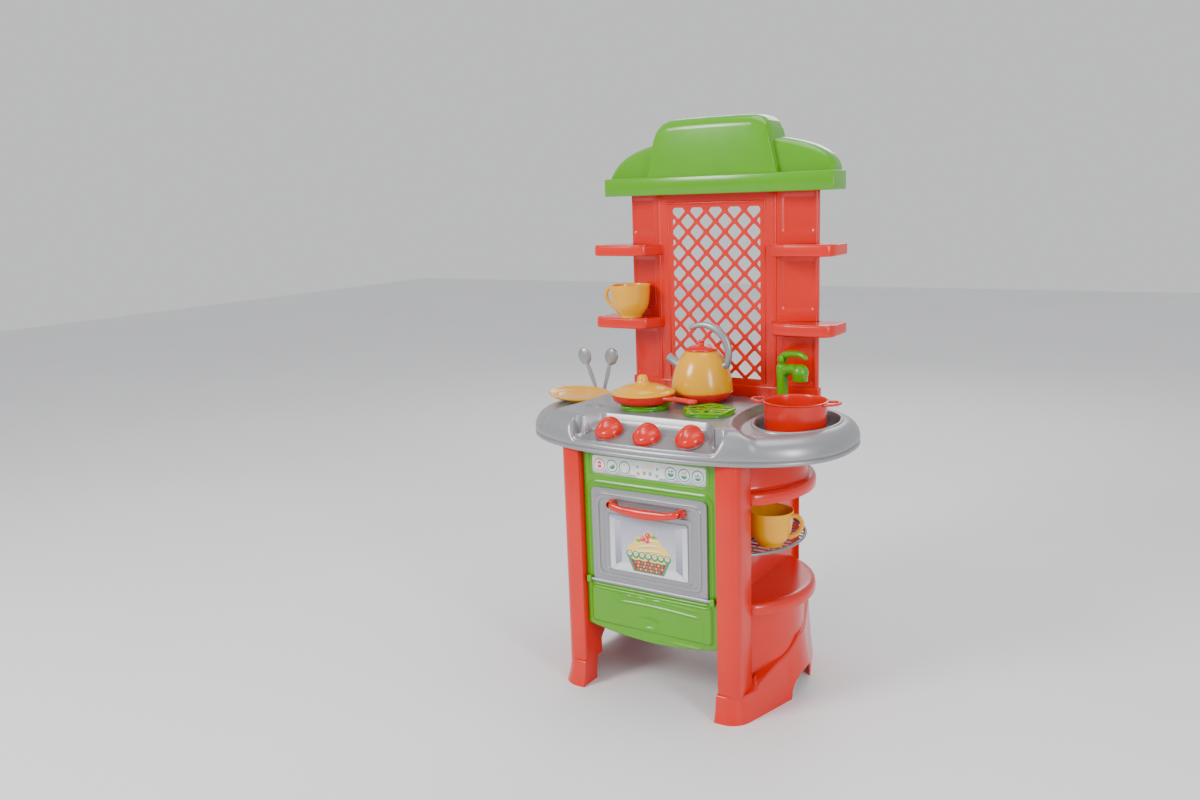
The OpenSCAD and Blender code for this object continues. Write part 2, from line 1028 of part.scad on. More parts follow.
module frying_pan() {
    color(red)
        translate([pan_x, pan_y, pan_z]) {
            rotate_extrude()
                polygon([[0, 0], [34, 0], [44, 5], [pan_r, 14], [pan_r - 2, 14], [42.5, 6.5], [33,
                    2.2], [0, 2.2]]);
            rotate(-12)
                difference() {
                    union() {
                        span([44, -5, 9], [94, 5, 13.5]);
                        translate([94, 0, 9])
                            cylinder(r = 7, h = 4.5);
                    }
                    translate([95, 0, 0])
                        cylinder(r = 3, h = 20);
                }
        }
}

module pan_lid() {
    color(yellow)
        translate([pan_x, pan_y, pan_z + 14.2])
            rotate_extrude()
                polygon([[0, 10], [20, 9], [38, 3.5], [pan_r - 1, 0], [pan_r, 1], [pan_r, 2.5], [38,
                    7], [24, 12],
                    [10, 14.5], [8, 22], [6, 26], [0, 27.5]]);
}

module plate() {
    color(yellow)
        translate([plate_x, plate_y, deck_z + 3.8])
            rotate([0, plate_tilt, 0])
                rotate_extrude()
                    polygon([[0, 0], [30, 0], [32, 2], [46, 5], [plate_r, 8], [plate_r, 9.5], [45,
                        7.5], [31, 4.2], [0, 3]]);
}

// Spoon in its well, leaning by its own angle
module spoon(i) {
    color(silver)
        translate([spoon_x[i], spoon_y, deck_z])
            rotate([0, spoon_lean[i], 0]) {
                translate([0, 0, -10])
                    cylinder(r = 2.6, h = spoon_l);
                translate([0, 0, spoon_l])
                    scale([0.85, 0.3, 1])
                        sphere(r = 14.5, $fn = 24);
            }
}

module left_spoon() {
    spoon(0);
}

module right_spoon() {
    spoon(1);
}

module pot() {
    t = 2;
    color(red)
        translate([pot_x, pot_y, sink_floor + 0.3])
            rotate(pot_turn)
                difference() {
                    union() {
                        cylinder(r1 = pot_r - 3, r2 = pot_r, h = pot_h);
                        translate([0, 0, pot_h - 2])
                            cylinder(r = pot_r + 2, h = 2);
                        for (s = [-1, 1])
                            translate([s * (pot_r + 6), 0, pot_h - 4])
                                cylinder(r = 15, h = 4);
                    }
                    translate([0, 0, t])
                        cylinder(r1 = pot_r - 3 - t, r2 = pot_r - t, h = pot_h);
                    for (s = [-1, 1])
                        intersection() {
                            translate([s * (pot_r + 6), 0, pot_h - 6])
                                cylinder(r = 10.5, h = 8);
                            difference() {
                                translate([0, 0, pot_h - 7])
                                    cylinder(r = 90, h = 10);
                                translate([0, 0, pot_h - 8])
                                    cylinder(r = pot_r + 2, h = 12);
                            }
                        }
                }
}

front_panel();
control_label();
oven_door();
door_hinge_pins();
oven_window_label();
door_handle();
left_side_unit();
right_side_unit();
left_rack();
right_rack();
back_panel();
oven_shelf();
worktop();
left_burner();
right_burner();
knob_left();
knob_middle();
knob_right();
tap_body();
tap_lever();
tower();
hood();
upper_cup();
lower_cup();
kettle_base();
kettle_body();
kettle_spout();
kettle_handle();
kettle_lid();
frying_pan();
pan_lid();
plate();
left_spoon();
right_spoon();
pot();
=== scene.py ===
import math

import bmesh
import bpy
from mathutils import Matrix, Vector
from mathutils.geometry import convex_hull_2d, tessellate_polygon


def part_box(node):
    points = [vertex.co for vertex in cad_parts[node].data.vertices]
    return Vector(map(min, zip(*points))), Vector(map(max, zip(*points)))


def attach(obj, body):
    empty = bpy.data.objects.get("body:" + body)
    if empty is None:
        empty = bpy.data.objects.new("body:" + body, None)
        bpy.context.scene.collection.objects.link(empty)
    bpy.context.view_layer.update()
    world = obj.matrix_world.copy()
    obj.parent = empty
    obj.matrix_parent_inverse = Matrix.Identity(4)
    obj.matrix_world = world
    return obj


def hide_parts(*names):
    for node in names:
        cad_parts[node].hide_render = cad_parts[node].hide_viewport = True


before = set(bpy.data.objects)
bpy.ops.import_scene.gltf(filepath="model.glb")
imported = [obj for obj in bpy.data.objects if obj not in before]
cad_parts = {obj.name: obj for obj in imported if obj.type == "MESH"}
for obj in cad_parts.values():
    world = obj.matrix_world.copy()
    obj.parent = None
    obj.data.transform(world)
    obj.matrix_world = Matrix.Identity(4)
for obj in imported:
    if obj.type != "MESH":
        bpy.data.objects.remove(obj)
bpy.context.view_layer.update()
MM = 0.001
RED, GREEN, SILVER, YELLOW, LABEL = (
    "red_plastic", "green_plastic", "silver_plastic", "yellow_plastic", "printed_label")


# ---------- sizes taken from the frame, in millimetres ----------

def mm_box(node):
    low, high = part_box(node)
    return [c / MM for c in low], [c / MM for c in high]


PANEL_LOW, PANEL_HIGH = mm_box("front_panel")
DOOR_LOW, DOOR_HIGH = mm_box("oven_door")
TOP_LOW, TOP_HIGH = mm_box("worktop")
HOOD_LOW, HOOD_HIGH = mm_box("hood")
SIDE_HIGH = mm_box("right_side_unit")[1]
BURNER_LOW = mm_box("right_burner")[0]

PANEL_Y = -130.0
PANEL_HALF = PANEL_HIGH[0]
PANEL_BOTTOM = PANEL_LOW[2]
PANEL_BOW = 12.0
CABINET_TOP = PANEL_HIGH[2]
WALL = 2.5
DECK_Z = 402.0
HOB_Z = BURNER_LOW[2]
TOWER_Y = 88.0
TAP = Vector((116.0, 70.0, DECK_Z))
TAP_TURN = math.radians(-17)
SINK = (166.5, 5.0, 55.0, 78.0, 374.0)
OVAL_N = 2.4


# ---------- mesh helpers, all in millimetres ----------

def superellipse(a, b, n, count=192, cx=0.0, cy=0.0):
    points = []
    for i in range(count):
        t = 2 * math.pi * i / count
        c, s = math.cos(t), math.sin(t)
        points.append((cx + a * math.copysign(abs(c) ** (2 / n), c),
                       cy + b * math.copysign(abs(s) ** (2 / n), s)))
    return points


def round_corners(points, radius, steps=5, closed=True):
    """Replaces each corner of a polyline by an arc. radius is one number or one per corner."""
    count = len(points)
    radii = radius if isinstance(radius, (list, tuple)) else [radius] * count
    out = []
    for i, p in enumerate(points):
        if not closed and i in (0, count - 1):
            out.append(tuple(p))
            continue
        p = Vector(p[:2])
        before, after = Vector(points[i - 1][:2]) - p, Vector(points[(i + 1) % count][:2]) - p
        if radii[i] <= 0 or before.length < 1e-6 or after.length < 1e-6:
            out.append(tuple(p))
            continue
        u, v = before.normalized(), after.normalized()
        angle = math.acos(max(-1, min(1, u.dot(v))))
        if angle > math.pi - 0.02:
            out.append(tuple(p))
            continue
        reach = min(radii[i] / math.tan(angle / 2), before.length * 0.48, after.length * 0.48)
        start, end = p + u * reach, p + v * reach
        for k in range(steps + 1):
            t = k / steps
            q = start * (1 - t) ** 2 + p * 2 * t * (1 - t) + end * t ** 2
            out.append((q.x, q.y))
    return out


def rounded_rect(half_w, z0, z1, radius, steps=6):
    corners = [(half_w, z0), (half_w, z1), (-half_w, z1), (-half_w, z0)]
    return round_corners(corners, radius, steps)


def smooth_step(edge0, edge1, x):
    t = max(0.0, min(1.0, (x - edge0) / (edge1 - edge0)))
    return t * t * (3 - 2 * t)


def bump(distance, half_width):
    """A smooth ridge, 1 on its line and 0 past half_width."""
    t = min(1.0, abs(distance) / half_width)
    return (1 - t * t) ** 2


def rect_distance(x, z, half_w, z0, z1, radius):
    """Signed distance to a rounded rectangle, negative inside."""
    cz, hz = (z0 + z1) / 2, (z1 - z0) / 2
    dx, dz = abs(x) - half_w + radius, abs(z - cz) - hz + radius
    outside = math.hypot(max(dx, 0), max(dz, 0))
    return outside + min(max(dx, dz), 0) - radius


class Shape:
    """Vertices and faces being gathered for one piece."""

    def __init__(self):
        self.verts, self.faces = [], []

    def add(self, verts, faces):
        base = len(self.verts)
        self.verts += [tuple(v) for v in verts]
        self.faces += [tuple(base + i for i in f) for f in faces]
        return self

    def loft(self, rings, closed=True, cap_start=False, cap_end=False):
        count = len(rings[0])
        faces = []
        span = count if closed else count - 1
        for r in range(len(rings) - 1):
            for i in range(span):
                j = (i + 1) % count
                faces.append((r * count + i, r * count + j, (r + 1) * count + j, (r + 1) * count + i))
        last = (len(rings) - 1) * count
        if cap_start:
            faces.append(tuple(range(count - 1, -1, -1)))
        if cap_end:
            faces.append(tuple(last + i for i in range(count)))
        return self.add([v for ring in rings for v in ring], faces)

    def lathe(self, profile, segments=72, centre=(0, 0, 0), closed=False):
        """Turns a profile of (radius, height) points about a vertical line."""
        rings = []
        for i in range(segments):
            t = 2 * math.pi * i / segments
            rings.append([(centre[0] + r * math.cos(t), centre[1] + r * math.sin(t), centre[2] + z)
                          for r, z in profile])
        rings.append(rings[0])
        return self.loft(rings, closed=closed)

    def tube(self, path, radii, sides=16, flat=1.0, up=(0, 0, 1), round_ends=True):
        """Sweeps a round or flattened section along a path. flat scales the section sideways."""
        path = [Vector(p) for p in path]
        radii = list(radii) if isinstance(radii, (list, tuple)) else [radii] * len(path)
        if round_ends:
            path, radii = add_round_ends(path, radii)
        rings = []
        for i, p in enumerate(path):
            tangent = path[min(i + 1, len(path) - 1)] - path[max(i - 1, 0)]
            tangent.normalize()
            side = tangent.cross(Vector(up))
            if side.length < 1e-4:
                side = tangent.cross(Vector((1, 0, 0)))
            side.normalize()
            rise = side.cross(tangent)
            rings.append([p + side * (radii[i] * flat * math.cos(a)) + rise * (radii[i] * math.sin(a))
                          for a in (2 * math.pi * k / sides for k in range(sides))])
        return self.loft(rings, cap_start=True, cap_end=True)

    def block(self, low, high, radius=1.0):
        """A box with rounded upright edges and softened top and bottom edges."""
        outline = [(low[0], low[1]), (high[0], low[1]), (high[0], high[1]), (low[0], high[1])]
        return self.prism(outline, low[2], high[2], radius, corner=radius)

    def prism(self, outline, z0, z1, edge=1.0, corner=0.0, steps=3):
        """An upright prism whose top and bottom edges are rounded. The outline runs anticlockwise."""
        if corner:
            outline = round_corners(outline, corner, 4)
        rings = []
        for k in range(steps + 1):
            a = math.pi / 2 * k / steps
            rings.append((edge * (1 - math.sin(a)), z0 + edge * (1 - math.cos(a))))
        for k in range(steps + 1):
            a = math.pi / 2 * k / steps
            rings.append((edge * (1 - math.cos(a)), z1 - edge * (1 - math.sin(a))))
        lines = [[(x, y, z) for x, y in inset_outline(outline, t)] for t, z in rings]
        return self.loft(lines, cap_start=True, cap_end=True)

    def sheet(self, us, vs, place, thickness, keep=lambda u, v: True):
        """A grid over us by vs, placed by place(u, v), given a back at thickness (a vector)."""
        index, verts, faces = {}, [], []
        for i, u in enumerate(us):
            for j, v in enumerate(vs):
                index[i, j] = len(verts)
                verts.append(Vector(place(u, v)))
        for i in range(len(us) - 1):
            for j in range(len(vs) - 1):
                if keep((us[i] + us[i + 1]) / 2, (vs[j] + vs[j + 1]) / 2):
                    faces.append((index[i, j], index[i + 1, j], index[i + 1, j + 1], index[i, j + 1]))
        return self.thick(verts, faces, [Vector(thickness)] * len(verts))

    def thick(self, verts, faces, offsets):
        """Closes an open surface with a copy of itself moved by offsets, and joins the rims."""
        count = len(verts)
        edges = {}
        for f in faces:
            for a, b in zip(f, f[1:] + f[:1]):
                edges[a, b] = True
        rim = [(a, b) for a, b in edges if (b, a) not in edges]
        back = [tuple(count + i for i in reversed(f)) for f in faces]
        sides = [(b, a, count + a, count + b) for a, b in rim]
        moved = [Vector(v) + o for v, o in zip(verts, offsets)]
        return self.add(list(verts) + moved, list(faces) + back + sides)

    def mirrored(self):
        other = Shape()
        other.add([(-x, y, z) for x, y, z in self.verts], [tuple(reversed(f)) for f in self.faces])
        return other

    def moved(self, matrix):
        self.verts = [tuple(matrix @ Vector(v)) for v in self.verts]
        return self

    def piece(self, name, material, slot, body="root", replaces=(), sharp=40):
        mesh = bpy.data.meshes.new(name)
        mesh.from_pydata([tuple(c * MM for c in v) for v in self.verts], [], self.faces)
        return finish_piece(name, mesh, material, body, replaces, sharp)


def add_round_ends(path, radii, steps=4):
    """Adds shrinking rings past both ends of a sweep."""
    first, last = (path[0] - path[1]).normalized(), (path[-1] - path[-2]).normalized()
    head = [(path[0] + first * radii[0] * math.sin(a), radii[0] * math.cos(a))
            for a in (math.pi / 2 * k / (steps + 0.3) for k in range(steps, 0, -1))]
    tail = [(path[-1] + last * radii[-1] * math.sin(a), radii[-1] * math.cos(a))
            for a in (math.pi / 2 * k / (steps + 0.3) for k in range(1, steps + 1))]
    return [p for p, _ in head] + path + [p for p, _ in tail], [r for _, r in head] + radii + [r for _,
        r in tail]


def inset_outline(outline, distance):
    """Moves each point of an anticlockwise outline inwards along its own normal."""
    if not distance:
        return list(outline)
    count = len(outline)
    moved = []
    for i, p in enumerate(outline):
        along = Vector(outline[(i + 1) % count]) - Vector(outline[i - 1])
        if along.length < 1e-9:
            along = Vector((1, 0))
        along.normalize()
        moved.append((p[0] - along.y * distance, p[1] + along.x * distance))
    return moved


def finish_piece(name, mesh, material, body, replaces, sharp):
    bm = bmesh.new()
    bm.from_mesh(mesh)
    bmesh.ops.remove_doubles(bm, verts=bm.verts, dist=2e-6)
    bmesh.ops.dissolve_degenerate(bm, edges=bm.edges, dist=1e-6)
    bmesh.ops.recalc_face_normals(bm, faces=bm.faces)
    bm.to_mesh(mesh)
    bm.free()
    mesh.shade_smooth()
    mesh.set_sharp_from_angle(angle=math.radians(sharp))
    piece = bpy.data.objects.new(name, mesh)
    bpy.context.scene.collection.objects.link(piece)
    mesh.materials.append(material)
    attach(piece, body)
    if replaces:
        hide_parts(*replaces)
    return piece


def cut_plate(outline, holes, thickness, edge, to_place):
    """A plate with holes and rounded edges. to_place turns its (x, y, z) into millimetres of the frame."""
    curve = bpy.data.curves.new("plate_outline", "CURVE")
    curve.dimensions = "2D"
    curve.fill_mode = "BOTH"
    curve.bevel_depth = edge
    curve.bevel_resolution = 2
    curve.extrude = thickness / 2 - edge
    curve.offset = -edge
    for loop in [outline] + list(holes):
        spline = curve.splines.new("POLY")
        spline.points.add(len(loop) - 1)
        for point, (x, y) in zip(spline.points, loop):
            point.co = (x, y, 0, 1)
        spline.use_cyclic_u = True
    holder = bpy.data.objects.new("plate_outline", curve)
    mesh = bpy.data.meshes.new_from_object(holder)
    shape = Shape()
    shape.add([to_place(*v.co) for v in mesh.vertices], [tuple(p.vertices) for p in mesh.polygons])
    bpy.data.objects.remove(holder)
    bpy.data.curves.remove(curve)
    bpy.data.meshes.remove(mesh)
    return shape


def lines_between(low, high, step, extra=()):
    """Evenly spaced grid lines that also pass through the extra values."""
    count = max(1, round((high - low) / step))
    values = {round(low + (high - low) * i / count, 4) for i in range(count + 1)}
    values = {v for v in values if all(abs(v - e) > step * 0.45 for e in extra)} | {low, high} | set(extra)
    return sorted(values)


def arc(cx, cy, radius, start, end, steps):
    """Points along an arc, angles in degrees."""
    return [(cx + radius * math.cos(math.radians(start + (end - start) * i / steps)),
             cy + radius * math.sin(math.radians(start + (end - start) * i / steps)))
            for i in range(steps + 1)]


# ---------- materials ----------

def node(tree, kind, **inputs):
    made = tree.nodes.new(kind)
    for key, value in inputs.items():
        made.inputs[key.replace("_", " ")].default_value = value
    return made


def noise(tree, coords, scale, detail=3.0, roughness=0.5):
    made = node(tree, "ShaderNodeTexNoise", Scale=scale, Detail=detail, Roughness=roughness)
    tree.links.new(coords, made.inputs["Vector"])
    return made.outputs["Fac"]


def ramp(tree, factor, low, high, colour_low, colour_high):
    made = tree.nodes.new("ShaderNodeValToRGB")
    made.color_ramp.elements[0].position = low
    made.color_ramp.elements[1].position = high
    made.color_ramp.elements[0].color = (*colour_low, 1)
    made.color_ramp.elements[1].color = (*colour_high, 1)
    tree.links.new(factor, made.inputs["Fac"])
    return made.outputs["Color"]


def map_range(tree, value, low, high, to_low, to_high):
    made = node(tree, "ShaderNodeMapRange", From_Min=low, From_Max=high, To_Min=to_low, To_Max=to_high)
    tree.links.new(value, made.inputs["Value"])
    return made.outputs["Result"]


def scaled(colour, factor):
    return tuple(min(1.0, c * factor) for c in colour)


def new_material(name):
    material = bpy.data.materials.new(name)
    material.use_nodes = True
    tree = material.node_tree
    shader = tree.nodes["Principled BSDF"]
    coords = tree.nodes.new("ShaderNodeTexCoord").outputs["Object"]
    return material, tree, shader, coords


def add_bump(tree, shader, heights):
    """Chains bumps. heights is a list of (height socket, strength, distance in metres)."""
    normal = None
    for height, strength, distance in heights:
        made = node(tree, "ShaderNodeBump", Strength=strength, Distance=distance)
        tree.links.new(height, made.inputs["Height"])
        if normal:
            tree.links.new(normal, made.inputs["Normal"])
        normal = made.outputs["Normal"]
    tree.links.new(normal, shader.inputs["Normal"])


def gloss_plastic(name, colour, roughness=0.22, subsurface=0.0, coat=0.05):
    """Injection-moulded plastic: cloudy pigment, slight flow waves, fine skin and faint rub marks."""
    material, tree, shader, coords = new_material(name)
    cloud = noise(tree, coords, 14, 4)
    tree.links.new(ramp(tree, cloud, 0.3, 0.72, scaled(colour, 0.95), scaled(colour, 1.03)),
                   shader.inputs["Base Color"])
    rubs = noise(tree, coords, 45, 5, 0.6)
    tree.links.new(map_range(tree, rubs, 0.4, 0.75, roughness, roughness + 0.05),
        shader.inputs["Roughness"])
    add_bump(tree, shader, [(noise(tree, coords, 16, 2), 0.06, 0.001),
                            (noise(tree, coords, 1100, 2), 0.02, 0.0001)])
    shader.inputs["IOR"].default_value = 1.5
    shader.inputs["Coat Weight"].default_value = coat
    shader.inputs["Coat Roughness"].default_value = 0.12
    shader.inputs["Subsurface Weight"].default_value = subsurface
    shader.inputs["Subsurface Radius"].default_value = (0.004, 0.002, 0.001)
    shader.inputs["Subsurface Scale"].default_value = 1.0
    return material


def silver_plastic(name, colour, roughness=0.34):
    """Silver-pigmented plastic: fine metallic flakes, soft flow marks and a satin skin."""
    material, tree, shader, coords = new_material(name)
    flakes = node(tree, "ShaderNodeTexVoronoi", Scale=1500.0)
    tree.links.new(coords, flakes.inputs["Vector"])
    sparkle = tree.nodes.new("ShaderNodeSeparateColor")
    tree.links.new(flakes.outputs["Color"], sparkle.inputs["Color"])
    grain = ramp(tree, sparkle.outputs["Red"], 0.0, 1.0, scaled(colour, 0.94), scaled(colour, 1.07))
    flow = ramp(tree, noise(tree, coords, 9, 5, 0.6), 0.3, 0.75, (0.9, 0.9, 0.91), (1, 1, 1))
    mix = tree.nodes.new("ShaderNodeMix")
    mix.data_type = "RGBA"
    mix.blend_type = "MULTIPLY"
    mix.inputs["Factor"].default_value = 1.0
    tree.links.new(grain, mix.inputs[6])
    tree.links.new(flow, mix.inputs[7])
    tree.links.new(mix.outputs[2], shader.inputs["Base Color"])
    tree.links.new(map_range(tree, sparkle.outputs["Green"], 0, 1, roughness - 0.03, roughness + 0.04),
                   shader.inputs["Roughness"])
    add_bump(tree, shader, [(noise(tree, coords, 26, 2), 0.1, 0.001),
                            (noise(tree, coords, 1300, 2), 0.03, 0.0001)])
    shader.inputs["Metallic"].default_value = 0.55
    shader.inputs["Coat Weight"].default_value = 0.15
    shader.inputs["Coat Roughness"].default_value = 0.25
    return material


def printed_ink(name, colour, shade=None, axis="Z", low=0.0, high=1.0, gloss=0.3):
    """Printed sticker film: halftone-fine mottling, and an optional shade from low to high along an axis."""
    material, tree, shader, coords = new_material(name)
    dots = node(tree, "ShaderNodeTexVoronoi", Scale=1400.0)
    tree.links.new(coords, dots.inputs["Vector"])
    tint = ramp(tree, dots.outputs["Distance"], 0.0, 0.8, scaled(colour, 0.94), scaled(colour, 1.04))
    if shade:
        split = tree.nodes.new("ShaderNodeSeparateXYZ")
        tree.links.new(coords, split.inputs["Vector"])
        place = map_range(tree, split.outputs[axis], low * MM, high * MM, 0, 1)
        mix = tree.nodes.new("ShaderNodeMix")
        mix.data_type = "RGBA"
        mix.inputs[7].default_value = (*shade, 1)
        tree.links.new(place, mix.inputs["Factor"])
        tree.links.new(tint, mix.inputs[6])
        tint = mix.outputs[2]
    tree.links.new(tint, shader.inputs["Base Color"])
    tree.links.new(map_range(tree, noise(tree, coords, 300, 2), 0.3, 0.7, gloss, gloss + 0.12),
                   shader.inputs["Roughness"])
    add_bump(tree, shader, [(noise(tree, coords, 500, 2), 0.04, 0.0002)])
    shader.inputs["Coat Weight"].default_value = 0.3
    shader.inputs["Coat Roughness"].default_value = 0.15
    return material


red = gloss_plastic("red_moulded_plastic", (0.68, 0.010, 0.001), 0.22)
green = gloss_plastic("green_moulded_plastic", (0.085, 0.33, 0.0), 0.2)
yellow = gloss_plastic("yellow_moulded_plastic", (0.80, 0.37, 0.0), 0.18)
silver = silver_plastic("silver_moulded_plastic", (0.33, 0.33, 0.345))
# a darker copy of the silver plastic: painted shade, for the racks under the shelves, the burner wells and
# the parts inside the oven
shade_painted_silver = silver_plastic("painted_shade_silver_plastic", (0.25, 0.25, 0.27))


# ---------- cabinet front ----------

def panel_bottom(x):
    """Height of the front panel's bowed bottom edge."""
    return PANEL_BOTTOM + PANEL_BOW * (x / PANEL_HALF) ** 2


DOOR_HALF, DOOR_FOOT, DOOR_HEAD = DOOR_HIGH[0], DOOR_LOW[2], DOOR_HIGH[2]
LABEL_HALF, LABEL_Z0, LABEL_Z1 = 91.0, 330.0, 356.0
DRAWER_Z1 = 160.0


def panel_relief(x, z):
    """How far the front panel's skin stands forward of its flat."""
    label = rect_distance(x, z, LABEL_HALF + 1.5, LABEL_Z0 - 1.5, LABEL_Z1 + 1.5, 5)
    relief = 0.9 * bump(label - 2, 2.4)
    door = rect_distance(x, z, DOOR_HALF + 2, DOOR_FOOT - 4, DOOR_HEAD + 2.5, 9)
    relief += 1.6 * bump(door - 4.5, 3.2)
    drawer = rect_distance(x, z, 98, 104, DRAWER_Z1, 6)
    relief += 3.0 * smooth_step(2.2, -2.2, drawer)
    wave_fade = smooth_step(-78, -35, x) * smooth_step(92, 70, x)
    for base, height in ((151, 1.2), (142, 1.6)):
        wave = base + 1.8 * math.sin((x + 60) / 36)
        relief += height * wave_fade * bump(z - wave, 2.6)
    corner = rect_distance(x, z, 84, 94, 140, 10)
    relief += 1.3 * bump(corner, 2.4) * smooth_step(-20, 40, x) * smooth_step(141, 132, z)
    pull = math.hypot((x + 6) / 25, (z - 118) / 8.5) - 1
    relief -= 2.2 * smooth_step(0.12, -0.45, pull) * smooth_step(-34, 22, x + z - 118)
    relief += 1.2 * bump(pull * 9, 2.6) * smooth_step(-30, 10, x)
    edge = min(PANEL_HALF - abs(x), z - panel_bottom(x), CABINET_TOP - z)
    return relief - 1.4 * (1 - smooth_step(0, 1.6, edge))


def build_front_panel():
    shape = Shape()
    hole_x, hole_z0, hole_z1 = 84, 178, 301
    xs = lines_between(-PANEL_HALF, PANEL_HALF, 1.3, (-hole_x, hole_x))
    ts = lines_between(0, 1, 1 / 300)
    z_hole = [(hole_z0, hole_z1)]

    def height(x, t):
        return panel_bottom(x) + (CABINET_TOP - panel_bottom(x)) * t

    def place(x, t):
        z = height(x, t)
        return x, PANEL_Y - panel_relief(x, z), z

    def keep(x, t):
        z = height(x, t)
        return abs(x) > hole_x or all(z < low or z > high for low, high in z_hole)

    shape.sheet(xs, ts, place, (0, WALL, 0), keep)
    for side in (-1, 1):
        low, high = sorted((side * (PANEL_HALF - WALL), side * PANEL_HALF))
        shape.block((low, PANEL_Y + WALL - 0.5, 100), (high, PANEL_Y + 14, CABINET_TOP), 0.5)
        shape.block((side * 100.5 - 3.5, PANEL_Y - 7, 164), (side * 100.5 + 3.5, PANEL_Y, 174), 1.2)
    return shape.piece("front_panel_moulding", green, GREEN, replaces=("front_panel",), sharp=50)


def door_ring(inset_side, inset_low, inset_high, radius, y):
    outline = rounded_rect(DOOR_HALF - inset_side, DOOR_FOOT + inset_low, DOOR_HEAD - inset_high, radius)
    return [(x, y, z) for x, z in outline]


def build_oven_door():
    back, front = DOOR_HIGH[1] - 0.1, -134.0
    proud = DOOR_LOW[1]
    # side inset, bottom inset, top inset, corner radius, y
    steps = [(0, 5, 0, 8, back), (0, 5, 0, 8, front + 1.2), (0.4, 5.4, 0.4, 8, front + 0.3),
             (1.4, 6.2, 1.4, 8, front), (7.5, 12, 8, 12, front), (8.2, 12.6, 8.6, 12, front - 0.5),
             (8.6, 13.2, 9.2, 12, proud + 0.3), (9.6, 14.4, 10.4, 11.5, proud), (11.6, 16, 13, 11, proud),
             (12.8, 17, 14.6, 10.5, proud + 0.4), (13.6, 17.6, 15.6, 10, front + 0.1),
             (21.5, 20.6, 27, 9, front + 0.1), (22.3, 21, 28, 9, front - 0.5), (23.2, 21.6, 29, 8.5,
             proud + 0.4),
             (26.6, 23, 33.6, 7, proud + 0.4), (27.8, 23.6, 35.6, 5, front - 0.3), (29, 24.6, 37, 4,
             front + 0.8),
             (29.4, 25, 37.4, 3.5, front + 1)]
    shape = Shape().loft([door_ring(*s) for s in steps], cap_start=True, cap_end=True)
    shape.tube([(-DOOR_HALF, -133.2, 169), (DOOR_HALF, -133.2, 169)], 2.8, 20, up=(0, 1, 0),
        round_ends=False)
    shape.block((-DOOR_HALF, back - 2.4, 168.5), (DOOR_HALF, back, 176), 0.6)
    return shape.piece("oven_door_moulding", silver, SILVER, "door", ("oven_door",))


def build_door_handle():
    shape = Shape()
    half = 58.0
    path, radii = [], []
    for k in range(41):
        u = -1 + 2 * k / 40
        x = half * u
        lift = 4.5 * smooth_step(0.5, 1.0, abs(u)) - 1.5 * smooth_step(0.6, 0.0, abs(u))
        back = 10.5 * smooth_step(0.86, 1.0, abs(u))
        path.append((x, -147.6 + back, 287 + lift - 1.5))
        radii.append(5.4 + 2.0 * smooth_step(0.75, 0.1, abs(u)))
    shape.tube(path, radii, 24, flat=0.72, up=(0, 0, 1))
    for side in (-1, 1):
        shape.lathe([(0, 0), (6.4, 0), (6.2, 2), (5.0, 6), (4.6, 11)], 32)
        count = len(shape.verts)
        ring = 32 * 5 + 5
        turn = Matrix.Translation((side * 55, -136, 290)) @ Matrix.Rotation(math.pi / 2, 4, "X")
        for i in range(count - ring, count):
            shape.verts[i] = tuple(turn @ Vector(shape.verts[i]))
    return shape.piece("door_handle_moulding", red, RED, "door", ("door_handle",), sharp=60)


# ---------- printed stickers ----------

class Print:
    """Flat printed shapes on an upright plane facing the front, each layer a hair in front of the last."""

    def __init__(self, y, body, name):
        self.y, self.body, self.name, self.layers, self.counts = y, body, name, {}, {}

    def add(self, ink, outline, layer):
        shape = self.layers.setdefault(ink, Shape())
        already = self.counts.get((ink, layer), 0)
        self.counts[(ink, layer)] = already + 1
        y = self.y - 0.035 * layer - 0.004 * (already % 8)
        count = len(outline)
        if sum(outline[i - 1][0] * outline[i][1] - outline[i][0] * outline[i - 1][1]
               for i in range(count)) < 0:
            outline = outline[::-1]
        verts = [(x, y, z) for x, z in outline]
        rim = [(x, y + 0.03 * layer, z) for x, z in outline]
        faces = []
        for a, b, c in tessellate_polygon([[Vector((x, z, 0)) for x, z in outline]]):
            (ax, az), (bx, bz), (cx, cz) = outline[a], outline[b], outline[c]
            turn = (bx - ax) * (cz - az) - (bz - az) * (cx - ax)
            faces.append((a, b, c) if turn > 0 else (a, c, b))
        faces += [((i + 1) % count, i, count + i, count + (i + 1) % count) for i in range(count)]
        shape.add(verts + rim, faces)

    def disc(self, ink, x, z, radius, layer, start=0, end=360):
        points = arc(x, z, radius, start, end, 28)
        self.add(ink, points[:-1] if end - start == 360 else points, layer)

    def ring(self, ink, x, z, radius, width, layer, inner_ink):
        self.disc(ink, x, z, radius, layer)
        self.disc(inner_ink, x, z, radius - width, layer + 1)

    def bar(self, ink, start, end, width, layer):
        along = Vector((end[0] - start[0], end[1] - start[1])).normalized()
        side = Vector((-along.y, along.x)) * width / 2
        corners = [(start[0] + side.x, start[1] + side.y), (start[0] - side.x, start[1] - side.y),
                   (end[0] - side.x, end[1] - side.y), (end[0] + side.x, end[1] + side.y)]
        self.add(ink, corners, layer)

    def finish(self):
        for ink, shape in self.layers.items():
            mesh_name = f"{self.name}_{ink.name}"
            shape.piece(mesh_name, ink, LABEL, self.body)


ink_white = printed_ink("white_ink", (0.83, 0.84, 0.86))
ink_green = printed_ink("green_ink", (0.02, 0.27, 0.13))
ink_red = printed_ink("red_ink", (0.66, 0.03, 0.05))
ink_amber = printed_ink("amber_ink", (0.84, 0.62, 0.16))


